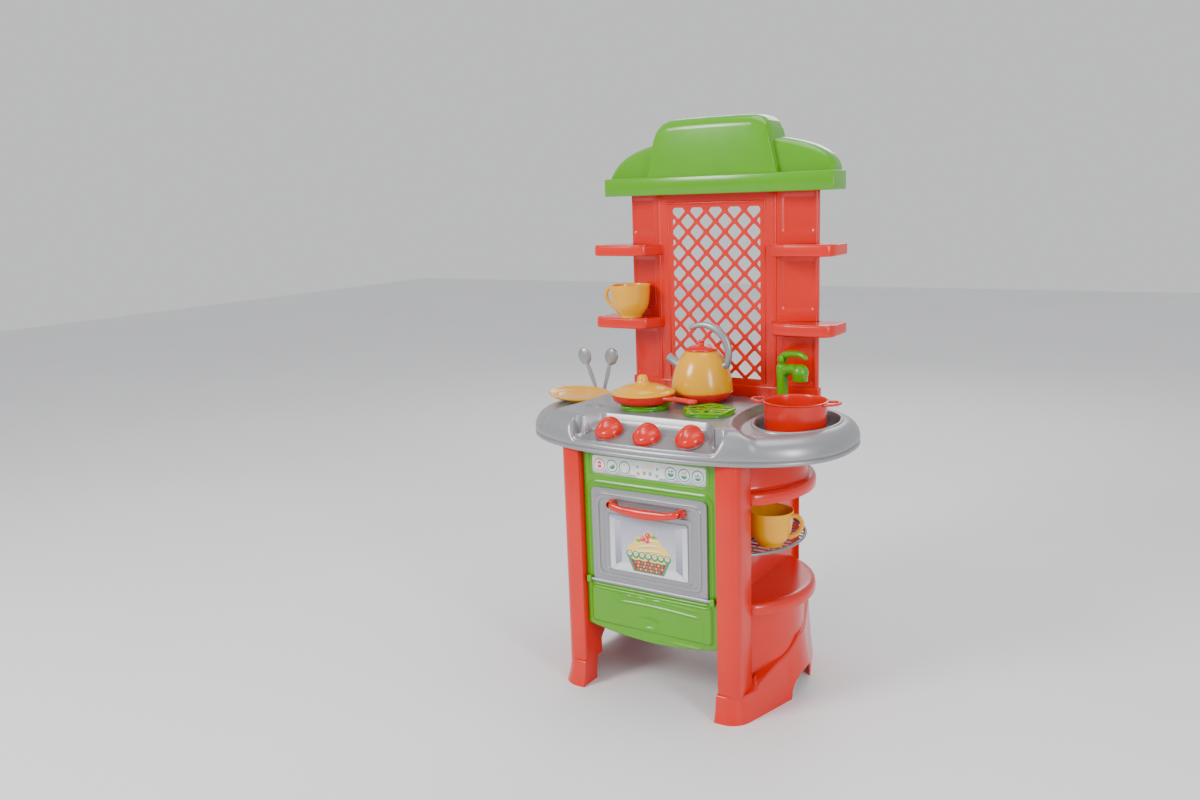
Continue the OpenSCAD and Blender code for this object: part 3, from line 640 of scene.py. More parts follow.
def build_control_label():
    film = printed_ink("label_film", (0.36, 0.36, 0.42), (0.78, 0.79, 0.83), "Z", LABEL_Z0, LABEL_Z1 - 4)
    outline = rounded_rect(LABEL_HALF, LABEL_Z0, LABEL_Z1, 4)
    shape = Shape().loft([[(x, PANEL_Y + 0.2, z) for x, z in outline], [(x, PANEL_Y - 0.2, z) for x,
        z in outline]],
                         cap_start=True, cap_end=True)
    shape.piece("control_label_film", film, LABEL, replaces=("control_label",))
    art = Print(PANEL_Y - 0.2, "root", "control_label")
    middle = (LABEL_Z0 + LABEL_Z1) / 2
    # white cloud behind the clock
    art.add(ink_white, rounded_rect(20, LABEL_Z0 + 0.6, LABEL_Z1 - 0.6, 5), 1)
    for x in (-24, 24):
        art.disc(ink_white, x, middle - 2, 7, 1)
    places = (-79, -58, -37, 37, 58, 79)
    for i, x in enumerate(places):
        ink = ink_red if i == 0 else ink_green
        art.disc(ink_white, x, middle, 10.6, 1)
        art.ring(ink, x, middle, 9.4, 1.5, 2, ink_white)
        draw_icon(art, i, ink, x, middle)
    # clock: four plain seven-segment digits
    for x, digit in ((-9.5, "1"), (-4.5, "2"), (2.0, "0"), (7.0, "0")):
        draw_digit(art, ink_amber, x, middle + 4.6, digit)
    for dz in (-1.2, 1.2):
        art.disc(ink_amber, -0.9, middle + 4.6 + dz, 0.5, 3)
    for x, z, radius, ink in ((-16, 3.5, 2.0, ink_green), (16, 3.5, 2.0, ink_green), (-15, -6.5, 2.4,
        ink_red),
                              (-5, -4.5, 2.6, ink_red), (4.5, -4.5, 2.6, ink_green), (15, -6.5, 2.2,
                              ink_green)):
        art.disc(ink, x, middle + z, radius, 2)
        art.disc(ink_white, x, middle + z, radius * 0.35, 3)
    art.finish()


def draw_digit(art, ink, x, z, digit):
    """A small seven-segment digit centred on x, z."""
    w, h = 1.4, 2.6
    segments = {"a": ((-w, h), (w, h)), "b": ((w, h), (w, 0)), "c": ((w, 0), (w, -h)), "d": ((-w, -h), (w,
        -h)),
                "e": ((-w, 0), (-w, -h)), "f": ((-w, h), (-w, 0)), "g": ((-w, 0), (w, 0))}
    lit = {"0": "abcdef", "1": "bc", "2": "abged"}[digit]
    for letter in lit:
        (x0, z0), (x1, z1) = segments[letter]
        art.bar(ink, (x + x0, z + z0), (x + x1, z + z1), 0.8, 3)


def draw_icon(art, which, ink, x, z):
    """Six plain cooking symbols: cake, leaf, fan, bowl, steam, lid."""
    if which == 0:
        art.add(ink, [(x - 3.6, z - 0.5), (x + 3.6, z - 0.5), (x + 2.6, z - 5), (x - 2.6, z - 5)], 4)
        art.disc(ink, x, z + 1.2, 3.4, 4, 0, 180)
        art.disc(ink, x, z + 4.8, 1.0, 4)
    elif which == 1:
        art.disc(ink, x, z, 5, 4, 200, 380)
        art.bar(ink, (x - 4.5, z - 3), (x + 4.5, z + 4), 1.0, 4)
    elif which == 2:
        for turn in (90, 210, 330):
            art.disc(ink, x, z, 5.4, 4, turn - 28, turn + 28)
            art.disc(ink_white, x, z, 1.3, 5)
    elif which == 3:
        art.disc(ink, x, z, 5.2, 4, 180, 360)
        art.disc(ink, x - 2, z + 2.4, 1.3, 4)
        art.disc(ink, x + 2, z + 3, 1.6, 4)
    elif which == 4:
        art.disc(ink, x, z - 1, 4.8, 4, 180, 360)
        for dx in (-2.6, 0, 2.6):
            art.bar(ink, (x + dx - 0.8, z + 0.6), (x + dx + 0.8, z + 5), 0.9, 4)
    else:
        art.disc(ink, x, z - 1.4, 4.8, 4, 180, 360)
        art.bar(ink, (x - 5.6, z + 0.6), (x + 5.6, z + 0.6), 1.2, 4)
        art.disc(ink, x, z + 2.2, 1.2, 4)


def build_window_label():
    y, half, low, high = -133.0, 63.0, 189.0, 272.0
    back_film = printed_ink("oven_back_film", (0.6, 0.61, 0.68), (0.34, 0.34, 0.42), "Z", low, high, 0.22)
    side_film = printed_ink("oven_side_film", (0.2, 0.2, 0.27), (0.5, 0.5, 0.57), "Z", low, high, 0.22)
    strip_film = printed_ink("oven_strip_film", (0.72, 0.73, 0.77), (0.55, 0.55, 0.6), "Z", low, high, 0.22)
    outline = rounded_rect(half, low, high, 3)
    shape = Shape().loft([[(x, y, z) for x, z in outline], [(x, y - 0.4, z) for x, z in outline]],
                         cap_start=True, cap_end=True)
    shape.piece("oven_window_film", back_film, LABEL, "door", ("oven_window_label",))
    art = Print(y - 0.4, "door", "oven_window")
    for side in (-1, 1):
        art.add(strip_film, [(side * half, low + 3), (side * half, high - 3), (side * 55, high - 5),
            (side * 55, low + 9)], 1)
        art.add(side_film, [(side * 55, low + 9), (side * 55, high - 5), (side * 44, high - 8),
            (side * 44, low + 15)], 1)
    art.add(strip_film, [(-half + 2, low + 0.5), (half - 2, low + 0.5), (44, low + 14), (-44, low + 14)], 2)
    draw_cake(art, 0, low + 4)
    art.finish()


def draw_cake(art, x, z):
    """A plain small cake: woven case with a scalloped rim, swirled cream, leaves and three berries."""
    case = printed_ink("cake_case_ink", (0.30, 0.02, 0.01))
    weave = printed_ink("case_weave_ink", (0.72, 0.36, 0.16))
    cream = printed_ink("cream_ink", (0.90, 0.62, 0.13))
    light = printed_ink("light_cream_ink", (0.93, 0.83, 0.42))
    swirl = printed_ink("swirl_ink", (0.62, 0.23, 0.01))
    leaf = printed_ink("leaf_ink", (0.16, 0.34, 0.03))
    art.add(ink_green, [(x - 25, z), (x + 25, z), (x + 37, z + 27), (x - 37, z + 27)], 3)
    art.add(case, [(x - 22, z + 1.5), (x + 22, z + 1.5), (x + 31, z + 23), (x - 31, z + 23)], 4)
    for row in range(4):
        half = 20 + row * 2.4
        for k in range(-4, 5):
            shift = half / 9 if row % 2 else 0
            art.disc(weave if (k + row) % 2 else ink_green, x + k * half / 4.6 + shift,
                z + 4.5 + row * 4.8, 1.7, 5)
    for cx, cz, r in ((-21, 30, 13), (21, 30, 13), (-8, 31, 14), (9, 31, 14), (-12, 41, 12), (11, 41, 12),
                      (0, 46, 12), (1, 54, 8)):
        art.disc(cream, x + cx, z + cz, r, 6)
    for low, reach, rise in ((27, 30, 7), (34, 26, 8), (41, 19, 8), (48, 12, 7)):
        steps = [k / 14 for k in range(15)]
        top = [(x - reach + 2 * reach * t, z + low + rise * t + 5 * math.sin(math.pi * t)) for t in steps]
        art.add(light, top + [(px, pz - 3.4 * math.sin(math.pi * t)) for t, (px, pz) in
                              reversed(list(zip(steps, top)))], 7)
        art.add(swirl, [(px, pz - 3.4 * math.sin(math.pi * t)) for t, (px, pz) in zip(steps, top)]
                + [(px, pz - 4.5 * math.sin(math.pi * t)) for t, (px, pz) in reversed(list(zip(steps,
                    top)))], 8)
    for k in range(-3, 4):
        art.disc(ink_green, x + k * 10.2, z + 25, 5.6, 9)
        art.disc(light, x + k * 10.2, z + 26, 3.2, 10)
        art.disc(ink_red, x + k * 10.2, z + 26, 1.2, 11)
    for cx, cz in ((-15, 47), (9, 55)):
        art.add(leaf, [(x + cx - 6, z + cz), (x + cx, z + cz + 3), (x + cx + 6, z + cz), (x + cx,
            z + cz - 3)], 10)
    for cx, cz, r in ((-8, 50, 4.2), (0, 56, 4.6), (-1, 48, 3.6)):
        art.disc(ink_red, x + cx, z + cz, r, 11)
        art.disc(ink_white, x + cx - 1.4, z + cz + 1.5, 0.9, 12)


# ---------- side units ----------

SHELF_CX, SHELF_CY, SHELF_R, DRUM_R, SKIRT_R, RACK_R = 58.0, -1.0, 129.5, 112.0, 117.0, 116.5
INNER_X = PANEL_HALF
POST_OUT, POST_FRONT, POST_BACK = 142.0, -140.0, -95.0
BACK_Y = SIDE_HIGH[1]
FOOT_H, FOOT_SIDE_H = 38.0, 88.0
ARCH = (112.0, 96.0)


def shelf_ring(radius, z, y_low=-97.0, y_high=118.0):
    """A round shelf's outline closed by the inner wall, as a ring of fixed count."""
    x0 = INNER_X + 0.4
    reach = math.acos((x0 - SHELF_CX) / radius)
    points = [(SHELF_CX + radius * math.cos(a), SHELF_CY + radius * math.sin(a))
              for a in (-reach + 2 * reach * i / 90 for i in range(91))]
    return [(x, max(y_low, min(y_high, y)), z) for x, y in points]


def build_round_shelf(shape, z0, z1):
    """Top plate and turned-down lip with a rolled edge."""
    profile = [(SHELF_R - 3, z0 + 0.4), (SHELF_R - 2.4, z0), (SHELF_R - 1.2, z0), (SHELF_R - 0.6, z0 + 0.8),
               (SHELF_R - 0.2, z1 - 9), (SHELF_R - 0.8, z1 - 5), (SHELF_R - 2.6, z1 - 2.2),
               (SHELF_R - 5.5, z1 - 0.5),
               (SHELF_R - 9, z1), (SHELF_R - 12, z1), (SHELF_R - 13, z1 - WALL), (SHELF_R - 7,
               z1 - WALL - 0.6),
               (SHELF_R - 3.6, z1 - 6)]
    rings = [shelf_ring(r, z) for r, z in profile]
    shape.loft(rings + [rings[0]], closed=False)
    shape.loft([shelf_ring(SHELF_R - 12, z1), shelf_ring(SHELF_R - 12, z1 - WALL)], cap_start=True,
        cap_end=True)


def foot_hull(grow):
    """Convex outline of the flared foot in plan, grown outwards."""
    points = arc(SHELF_CX, SHELF_CY, DRUM_R + grow / 2, -90, 90, 60)
    points += arc(POST_OUT - 22, POST_FRONT + 22, 22 + grow / 2, -90, 20, 24)
    points += [(INNER_X, POST_FRONT - grow / 2), (INNER_X, BACK_Y), (INNER_X + 22 + grow / 2, BACK_Y),
               (POST_OUT + grow / 2, POST_BACK + 30)]
    inside = [Vector((max(INNER_X, x), min(BACK_Y, y))) for x, y in points]
    return [inside[i] for i in convex_hull_2d(inside)]


def ray_to_outline(outline, origin, angle):
    """Where a ray from origin leaves a convex outline."""
    direction = Vector((math.cos(angle), math.sin(angle)))
    best = None
    for i, b in enumerate(outline):
        a = outline[i - 1]
        edge = b - a
        cross = direction.x * edge.y - direction.y * edge.x
        if abs(cross) < 1e-9:
            continue
        gap = a - origin
        t = (gap.x * edge.y - gap.y * edge.x) / cross
        s = (gap.x * direction.y - gap.y * direction.x) / cross
        if t > 0 and -1e-6 <= s <= 1 + 1e-6 and (best is None or t > best):
            best = t
    return origin + direction * best


def side_arch(x, y):
    """Height of the arch in the foot's outer side."""
    if x < 134 or abs(y - 8) >= 42:
        return 0.0
    return 33 * (1 - (abs(y - 8) / 42) ** 2.6) ** (1 / 2.6)


def ledge_height(y):
    """The foot's ledge climbs from the front post to the side."""
    t = min(1.0, max(0.0, (y - POST_BACK + 4) / 92))
    return FOOT_H + (FOOT_SIDE_H - FOOT_H) * (t + 0.07 * math.sin(2 * math.pi * t))


def build_foot(shape):
    origin = Vector((INNER_X + 0.01, -8.0))
    angles = [math.radians(-90 + 180 * i / 240) for i in range(241)]
    # share of the flare and of the height, for each ring from the top ledge down
    levels = [(-30, 1, 0), (2.5, 1, 0), (4.6, 1, -0.7), (6, 1, -2.5)]
    levels += [(6 + 14 * (k / 14) ** 1.5, 1 - k / 14, -2.5 * (1 - k / 14)) for k in range(1, 15)]
    rings = []
    for grow, share, drop in levels:
        hull = foot_hull(max(grow, 0))
        ring = []
        for angle in angles:
            point = ray_to_outline(hull, origin, angle)
            if grow < 0:
                point = origin + (point - origin) * 0.8
            ledge = ledge_height(point.y)
            low = side_arch(point.x, point.y)
            z = share * ledge + drop
            ring.append((point.x, point.y, low + z * (1 - low / ledge)))
        rings.append(ring)
    verts = [v for ring in rings for v in ring]
    count = len(angles)
    faces = [(r * count + i, r * count + i + 1, (r + 1) * count + i + 1, (r + 1) * count + i)
             for r in range(len(rings) - 1) for i in range(count - 1)]
    offsets = []
    for r, ring in enumerate(rings):
        for x, y, _ in ring:
            inward = (origin - Vector((x, y))).normalized() * (0 if r < 2 else WALL)
            offsets.append(Vector((inward.x, inward.y, -WALL if r < 4 else 0)))
    shape.thick(verts, faces, offsets)


def inner_wall_outline():
    arch_y, arch_z = ARCH
    bottom = [(arch_y * math.copysign(abs(math.cos(t)) ** (2 / 2.4), math.cos(t)),
               arch_z * abs(math.sin(t)) ** (2 / 2.4)) for t in (math.pi * k / 48 for k in range(1, 48))]
    flare = [(POST_FRONT - 2 - 7 * (k / 14) ** 1.5, max(0.2, FOOT_H * (1 - k / 14))) for k in range(15)]
    return ([(POST_FRONT + 3, CABINET_TOP), (POST_FRONT + 3, FOOT_H + 1)] + flare + [(-arch_y,
        0.2)] + bottom[::-1]
            + [(arch_y, 0.2), (BACK_Y, 0.2), (BACK_Y, CABINET_TOP)])


def build_side_unit():
    shape = Shape()
    wall = cut_plate(inner_wall_outline(), [], WALL, 0.8, lambda u, v, w: (INNER_X + 0.1 + WALL / 2 - w,
        u, v))
    shape.add(wall.verts, wall.faces)
    inner = INNER_X + 0.7
    post = round_corners([(inner, POST_FRONT), (POST_OUT, POST_FRONT), (POST_OUT, POST_BACK), (inner,
        POST_BACK)],
                         [2.5, 24, 5, 1], 8)
    shape.prism(post, FOOT_H - 3, CABINET_TOP, 0.8)
    flange = INNER_X + 9
    shape.prism(round_corners([(inner, BACK_Y - WALL), (flange, BACK_Y - WALL), (flange, BACK_Y - 0.1),
        (inner, BACK_Y - 0.1)],
                              [0.5, 1, 1, 0.5], 3), FOOT_SIDE_H - 3, CABINET_TOP, 0.6)
    # soft bead where the shelf skirts meet the front post
    for z0, z1 in ((302, CABINET_TOP), (FOOT_H, 161)):
        shape.tube([(POST_OUT - 8, POST_BACK + 0.5, z0 + 2), (POST_OUT - 8, POST_BACK + 0.5, z1 - 2)],
            1.6, 10)
    for z0, z1 in ((302, 320), (143, 161)):
        build_round_shelf(shape, z0, z1)
    # skirt above the upper shelf, up to the worktop
    shape.loft([shelf_ring(SKIRT_R + t, z) for t, z in ((4, 319.5), (1.2, 321.5), (0, 325), (0,
        CABINET_TOP),
                                                        (-3, CABINET_TOP), (-3, 319.5), (4, 319.5))],
                                                        closed=False)
    # drum with a recessed panel
    drum = [(DRUM_R, FOOT_H - 1), (DRUM_R, 133), (DRUM_R + 1, 138), (DRUM_R + 3.5, 143.5), (DRUM_R - 3,
        144),
            (DRUM_R - 4, FOOT_H - 1)]
    shape.loft([shelf_ring(r, z) for r, z in drum] + [shelf_ring(*drum[0])], closed=False)
    build_foot(shape)
    return shape


def build_rack():
    """Wire tray: a thick rounded rim, straight bars and two cross rods."""
    shape = Shape()
    x0, z = INNER_X + WALL, 227.5

    def edge(y, inset=0.0):
        return SHELF_CX + math.sqrt((RACK_R - inset) ** 2 - (y - SHELF_CY) ** 2)

    rim = [(edge(y, 2.4), y, z) for y in (POST_BACK + 3 + (98 - POST_BACK - 3) * k / 60 for k in range(61))]
    shape.tube([(x0 + 1, POST_BACK + 3, z)] + rim + [(x0 + 1, 99.5, z)], [2.3] * 63, 12)
    shape.tube([(x0 + 2, POST_BACK + 3, z), (x0 + 2, 98, z)], 1.9, 10)
    for k in range(14):
        y = -82.4 + 13 * k
        shape.tube([(x0 + 1, y, z), (edge(y, 2.4), y, z)], 1.35, 8)
    for x in (x0 + 18, x0 + 40):
        reach = math.sqrt((RACK_R - 3) ** 2 - (x - SHELF_CX) ** 2)
        shape.tube([(x, max(POST_BACK + 3, SHELF_CY - reach), z - 0.3), (x, SHELF_CY + reach, z - 0.3)],
            1.2, 8)
    return shape


def build_side_units():
    unit, rack = build_side_unit(), build_rack()
    unit.piece("right_side_moulding", red, RED, replaces=("right_side_unit",))
    unit.mirrored().piece("left_side_moulding", red, RED, replaces=("left_side_unit",))
    # the wire racks take the darker silver: painted shade under the shelves
    rack.piece("right_wire_rack", shade_painted_silver, SILVER, replaces=("right_rack",))
    rack.mirrored().piece("left_wire_rack", shade_painted_silver, SILVER, replaces=("left_rack",))


# ---------- worktop ----------

TOP_A, TOP_B = TOP_HIGH[0], TOP_HIGH[1]
SKIRT_Z = TOP_LOW[2]
TILT = math.radians(22)
CONSOLE_Y, CONSOLE_Z, CONSOLE_LIP = -125.0, 389.0, 380.5
HOB_FRONT = -100.0


def oval_depth(x, a=TOP_A, b=TOP_B):
    return b * max(0.0, 1 - (abs(x) / a) ** OVAL_N) ** (1 / OVAL_N)


def hob_step(x, y):
    """1 on the raised hob, 0 on the lower deck round the sink."""
    beyond = math.hypot((x - SINK[0]) / 72, (y - SINK[1]) / 130) - 1
    right = smooth_step(-0.09, 0.09, beyond) * smooth_step(SINK[0], SINK[0] - 14, x)
    left = smooth_step(-176, -160, x + 0.0006 * (y - 10) ** 2)
    return right * (0.15 + 0.85 * left)


def deck_height(x, y, inset):
    """Height of the worktop's skin at x, y, inset from its rim."""
    roll = 29.0
    level = DECK_Z + (HOB_Z - DECK_Z) * hob_step(x, y)
    crest = level if inset > roll else SKIRT_Z + 9 + (level - SKIRT_Z - 9) * (
        1 - (1 - inset / roll) ** 2.15) ** (1 / 2.15)
    # the rim is low in front of the knobs
    lip = smooth_step(122, 108, abs(x)) * smooth_step(-118, -127, y)
    if lip and inset < 20:
        low = SKIRT_Z + 9 + (CONSOLE_LIP - SKIRT_Z - 9) * math.sqrt(1 - (1 - min(1.0, inset / 5)) ** 2)
        return crest + (min(low, crest) - crest) * lip
    # inside the crest the deck dips a little, as a rolled rim does
    dip = 1.8 * smooth_step(roll, roll + 9, inset) * (1 - hob_step(x, y))
    ring = math.hypot(x + 128, (y + 62) * 1.25)
    dip += 2.2 * bump(ring - 14, 2.8) + 1.6 * bump(ring - 8, 2.2)
    return crest - dip


def inset_at(x, y):
    """How far inside the worktop's rim a point lies, measured as the mesh's rings are."""
    low, high = 0.0, TOP_B - 1
    for _ in range(30):
        t = (low + high) / 2
        if (abs(x) / (TOP_A - t)) ** OVAL_N + (abs(y) / (TOP_B - t)) ** OVAL_N < 1:
            low = t
        else:
            high = t
    return low


def in_sink(x, y, grow):
    cx, cy, a, b, _ = SINK
    return ((x - cx) / (a + grow)) ** 2 + ((y - cy) / (b + grow)) ** 2 < 1


def console_corners(grow):
    """Plan outline of the knob console, from its front left corner anticlockwise."""
    half = 113.5 + grow
    front = [(x, -(oval_depth(x) - 7 + grow)) for x in (half * (-1 + k / 32) for k in range(65))]
    back = HOB_FRONT + grow
    return round_corners(front + [(84 + grow, back), (-88 - grow, back)], [3] + [0] * 63 + [3, 18, 16], 10)


def console_line(grow=0.0):
    """The console's outline with points every few millimetres, as many whatever the growth."""
    corners, plain = console_corners(grow), console_corners(0.0)
    out = []
    for i, (x, y) in enumerate(corners):
        after = corners[(i + 1) % len(corners)]
        parts = max(1, round(math.dist(plain[i], plain[(i + 1) % len(plain)]) / 2.5))
        out += [(x + (after[0] - x) * k / parts, y + (after[1] - y) * k / parts) for k in range(parts)]
    return out


def inside(outline, x, y):
    hit = False
    for i, (x1, y1) in enumerate(outline):
        x0, y0 = outline[i - 1]
        if (y0 > y) != (y1 > y) and x < (x1 - x0) * (y - y0) / (y1 - y0) + x0:
            hit = not hit
    return hit


def build_worktop():
    shape = Shape()
    angles = 520
    skirt = [(3, SKIRT_Z + 0.8), (2.2, SKIRT_Z), (0.8, SKIRT_Z), (0, SKIRT_Z + 0.8), (0, SKIRT_Z + 4),
             (0.8, SKIRT_Z + 5.4), (1.6, SKIRT_Z + 5.7), (1.6, SKIRT_Z + 6.7), (0.8, SKIRT_Z + 7.3), (0.2,
             SKIRT_Z + 8.2),
             (0, SKIRT_Z + 9)]
    insets = [0.12, 0.5, 1.1, 2, 3.2, 4.8, 6.8, 9.2, 12, 15, 18, 21, 24, 27]
    step = 2.2
    while insets[-1] + step < TOP_B - 2:
        insets.append(insets[-1] + step)
    cut = console_line(0.6)
    rings = [[(x, y, z) for x, y in superellipse(TOP_A - t, TOP_B - t, OVAL_N, angles)] for t, z in skirt]
    for t in insets:
        ring = superellipse(TOP_A - t, TOP_B - t, OVAL_N, angles)
        rings.append([(x, y, deck_height(x, y, t)) for x, y in ring])
    verts = [v for ring in rings for v in ring]
    faces = []
    for r in range(len(rings) - 1):
        for i in range(angles):
            j = (i + 1) % angles
            face = (r * angles + i, r * angles + j, (r + 1) * angles + j, (r + 1) * angles + i)
            x, y = (sum(verts[k][axis] for k in face) / 4 for axis in (0, 1))
            if r > len(skirt) + 2 and (in_sink(x, y, 1.5) or inside(cut, x, y)):
                continue
            faces.append(face)
    # close the narrow middle
    last = (len(rings) - 1) * angles
    faces += [(last + i, last + i + 1, last + angles - 2 - i,
        last + angles - 1 - i) for i in range(angles // 2 - 1)]
    offsets = []
    for r, ring in enumerate(rings):
        for x, y, _ in ring:
            centre = Vector((-x, -y, 0)).normalized()
            offsets.append(centre * WALL if r < len(skirt) + 5 else Vector((0, 0, -WALL)))
    shape.thick(verts, faces, offsets)
    build_sink(shape)
    build_console(shape)
    return shape.piece("worktop_moulding", silver, SILVER, replaces=("worktop",), sharp=55)


def build_sink(shape):
    cx, cy, a, b, floor = SINK
    profile = [(6.0, DECK_Z - 3), (5.6, DECK_Z - 0.6), (4.2, DECK_Z + 0.7), (2.2, DECK_Z + 1.1), (0.6,
        DECK_Z + 0.4),
               (0, DECK_Z - 1.4), (-0.6, DECK_Z - 8), (-1.6, floor + 6), (-3.2, floor + 2.4), (-6,
               floor + 0.5),
               (-10, floor)]
    rings = [[(x, y, z) for x, y in superellipse(a + t, b + t, 2, 144, cx, cy)] for t, z in profile]
    under = [[(x, y, z) for x, y in superellipse(a + t, b + t, 2, 144, cx, cy)]
             for t, z in ((-10, floor - WALL), (1.5, floor + 2), (3.5, DECK_Z - 5))]
    shape.loft(rings, cap_end=True)
    shape.loft(under + [rings[0]], cap_start=True)


def console_point(x, y, rise=0.0):
    return x, y - rise * math.sin(TILT), CONSOLE_Z + (y - CONSOLE_Y) * math.tan(TILT) + rise * math.cos(TILT)


def build_console(shape):
    """Sloping tray for the knobs: a raised lip line, rounded walls and a flat floor."""
    def deck(x, y):
        return deck_height(x, y, max(0.3, inset_at(x, y)))

    rings = []
    for grow, rise, on_floor in ((3.4, -1.6, False), (2.9, 0.2, False), (1.7, 0.9, False), (0.4, 0.6,
        False),
                                 (-0.6, -0.6, False), (-1.6, 3.2, True), (-2.8, 1.0, True), (-4.8, 0.15,
                                 True),
                                 (-7, 0, True)):
        ring = []
        for x, y in console_line(grow):
            top = deck(x, y)
            floor_z = console_point(x, y)[2]
            z = floor_z + rise if on_floor else max(top, floor_z + 0.6) + rise
            ring.append((x, y, min(z, top + 1) if on_floor else z))
        rings.append(ring)
    shape.loft(rings)
    inner = rings[-1]
    centre_line = []
    for x, y, _ in inner:
        centre_line.append(console_point(x * 0.93, -121 + (y + 121) * 0.12))
    shape.loft([inner, centre_line], cap_end=True)
    back = [(x, y, z - 2) for x, y, z in inner]
    shape.loft([back, rings[0]], cap_start=True)


# ---------- burners, knobs and tap ----------

def build_burner(side):
    """Openwork burner: a lobed plate with slots and round holes, standing on a low ring."""
    low, high = mm_box("right_burner")
    cx, cy = side * (low[0] + high[0]) / 2, (low[1] + high[1]) / 2
    outline = []
    for i in range(180):
        t = 2 * math.pi * i / 180
        radius = 36.2 + 3.2 * math.cos(5 * (t - math.radians(36)))
        outline.append((radius * math.cos(t), radius * math.sin(t)))
    holes = []
    for k in range(5):
        turn = math.radians(72 * k)
        slot = round_corners([(9, -2.6), (27, -3.4), (27, 3.4), (9, 2.6)], 2.4, 4)
        holes.append([(x * math.cos(turn) - y * math.sin(turn), x * math.sin(turn) + y * math.cos(turn))
                      for x, y in slot])
        lobe = math.radians(72 * k + 36)
        holes.append([(25.5 * math.cos(lobe) + x, 25.5 * math.sin(lobe) + y) for x, y in arc(0, 0, 5.4, 0,
            345, 23)])
    holes.append(arc(0, 0, 3.2, 0, 340, 17))
    top = high[2] - 1.6
    shape = cut_plate(outline, [loop[::-1] for loop in holes], 3.0, 1.1, lambda u, v, w: (cx + u, cy + v,
        top + w))
    shape.lathe([(35, 412.1), (35.6, 412.6), (35.6, 416.4), (33.6, 416.4), (33.6, 412.1), (35, 412.1)],
        72, (cx, cy, 0))
    shape.lathe([(0, 412.2), (11, 412.2), (9, 416), (7.5, 417.5), (5.5, 417.5), (5, 414), (0, 414)], 48,
        (cx, cy, 0))
    return shape


def build_burners():
    for side, name in ((-1, "left"), (1, "right")):
        build_burner(side).piece(f"{name}_burner_grate", green, GREEN, replaces=(f"{name}_burner",))
        # a thin dark disc under each openwork plate: painted shade seen through the holes
        well = Shape().lathe([(0, 412.15), (33.4, 412.15), (33.4, 412.6), (0, 412.6)], 64, (side * 55.0,
            -44.0, 0))
        well.piece(f"{name}_burner_well", shade_painted_silver, SILVER)


def knob_height(x, y, radius):
    """Height of a knob's top: a low dome with a tall rounded grip across it."""
    r = math.hypot(x, y)
    if r >= radius:
        return 0.0
    dome = 13.5 * (1 - (r / radius) ** 2.6) ** (1 / 2.6)
    arch = 21.0 * max(0.0, 1 - (r / (radius * 0.97)) ** 2.2) ** (1 / 2.2)
    side = smooth_step(9.5, 3.2, abs(x + 1.5))
    cheek = 1.2 * bump(abs(x + 1.5) - 10.5, 2.2) * smooth_step(radius, radius * 0.6, r)
    return max(dome, dome + (arch - dome) * side) - cheek


def build_knob(name, k, grip_turn):
    radius = 20.6
    x0 = 64.5 * k
    y0 = CONSOLE_Y - 5 * (1 - abs(k)) + 2
    z0 = console_point(x0, y0)[2]
    place = Matrix.Translation((x0, y0, z0)) @ Matrix.Rotation(TILT, 4, "X") @ Matrix.Rotation(grip_turn,
        4, "Z")
    segments, rows = 72, 30
    rings = [[(0.97 * radius * math.cos(t), 0.97 * radius * math.sin(t), 0.7)
              for t in (2 * math.pi * i / segments for i in range(segments))]]
    rings.append([(radius * math.cos(t), radius * math.sin(t), 1.2)
                  for t in (2 * math.pi * i / segments for i in range(segments))])
    for row in range(rows, -1, -1):
        r = radius * math.sin(math.pi / 2 * row / rows)
        r = max(r, 0.05)
        rings.append([(r * math.cos(t), r * math.sin(t), 2.2 + knob_height(r * math.cos(t),
            r * math.sin(t), radius))
                      for t in (2 * math.pi * i / segments for i in range(segments))])
    shape = Shape().loft(rings, cap_start=True, cap_end=True)
    shape.lathe([(0, -6), (3.9, -6), (3.9, 1), (0, 1)], 24)
    shape.lathe([(0, -6), (6, -6), (6, -3.6), (0, -3.6)], 24)
    shape.moved(place)
    shape.piece(f"{name}_knob_cap", red, RED, f"{name}_knob", (f"knob_{name}",), sharp=50)
    collar = Shape().lathe([(19.2, 0.35), (20.8, 0.35), (21.2, 0.7), (21.0, 1.3), (20, 1.5), (19.2, 1.5),
        (19.2, 0.35)], 72)
    collar.moved(place).piece(f"{name}_knob_ring", silver, SILVER, f"{name}_knob")


def tap_place(x, y, z):
    c, s = math.cos(TAP_TURN), math.sin(TAP_TURN)
    return TAP.x + x * c - y * s, TAP.y + x * s + y * c, TAP.z + z


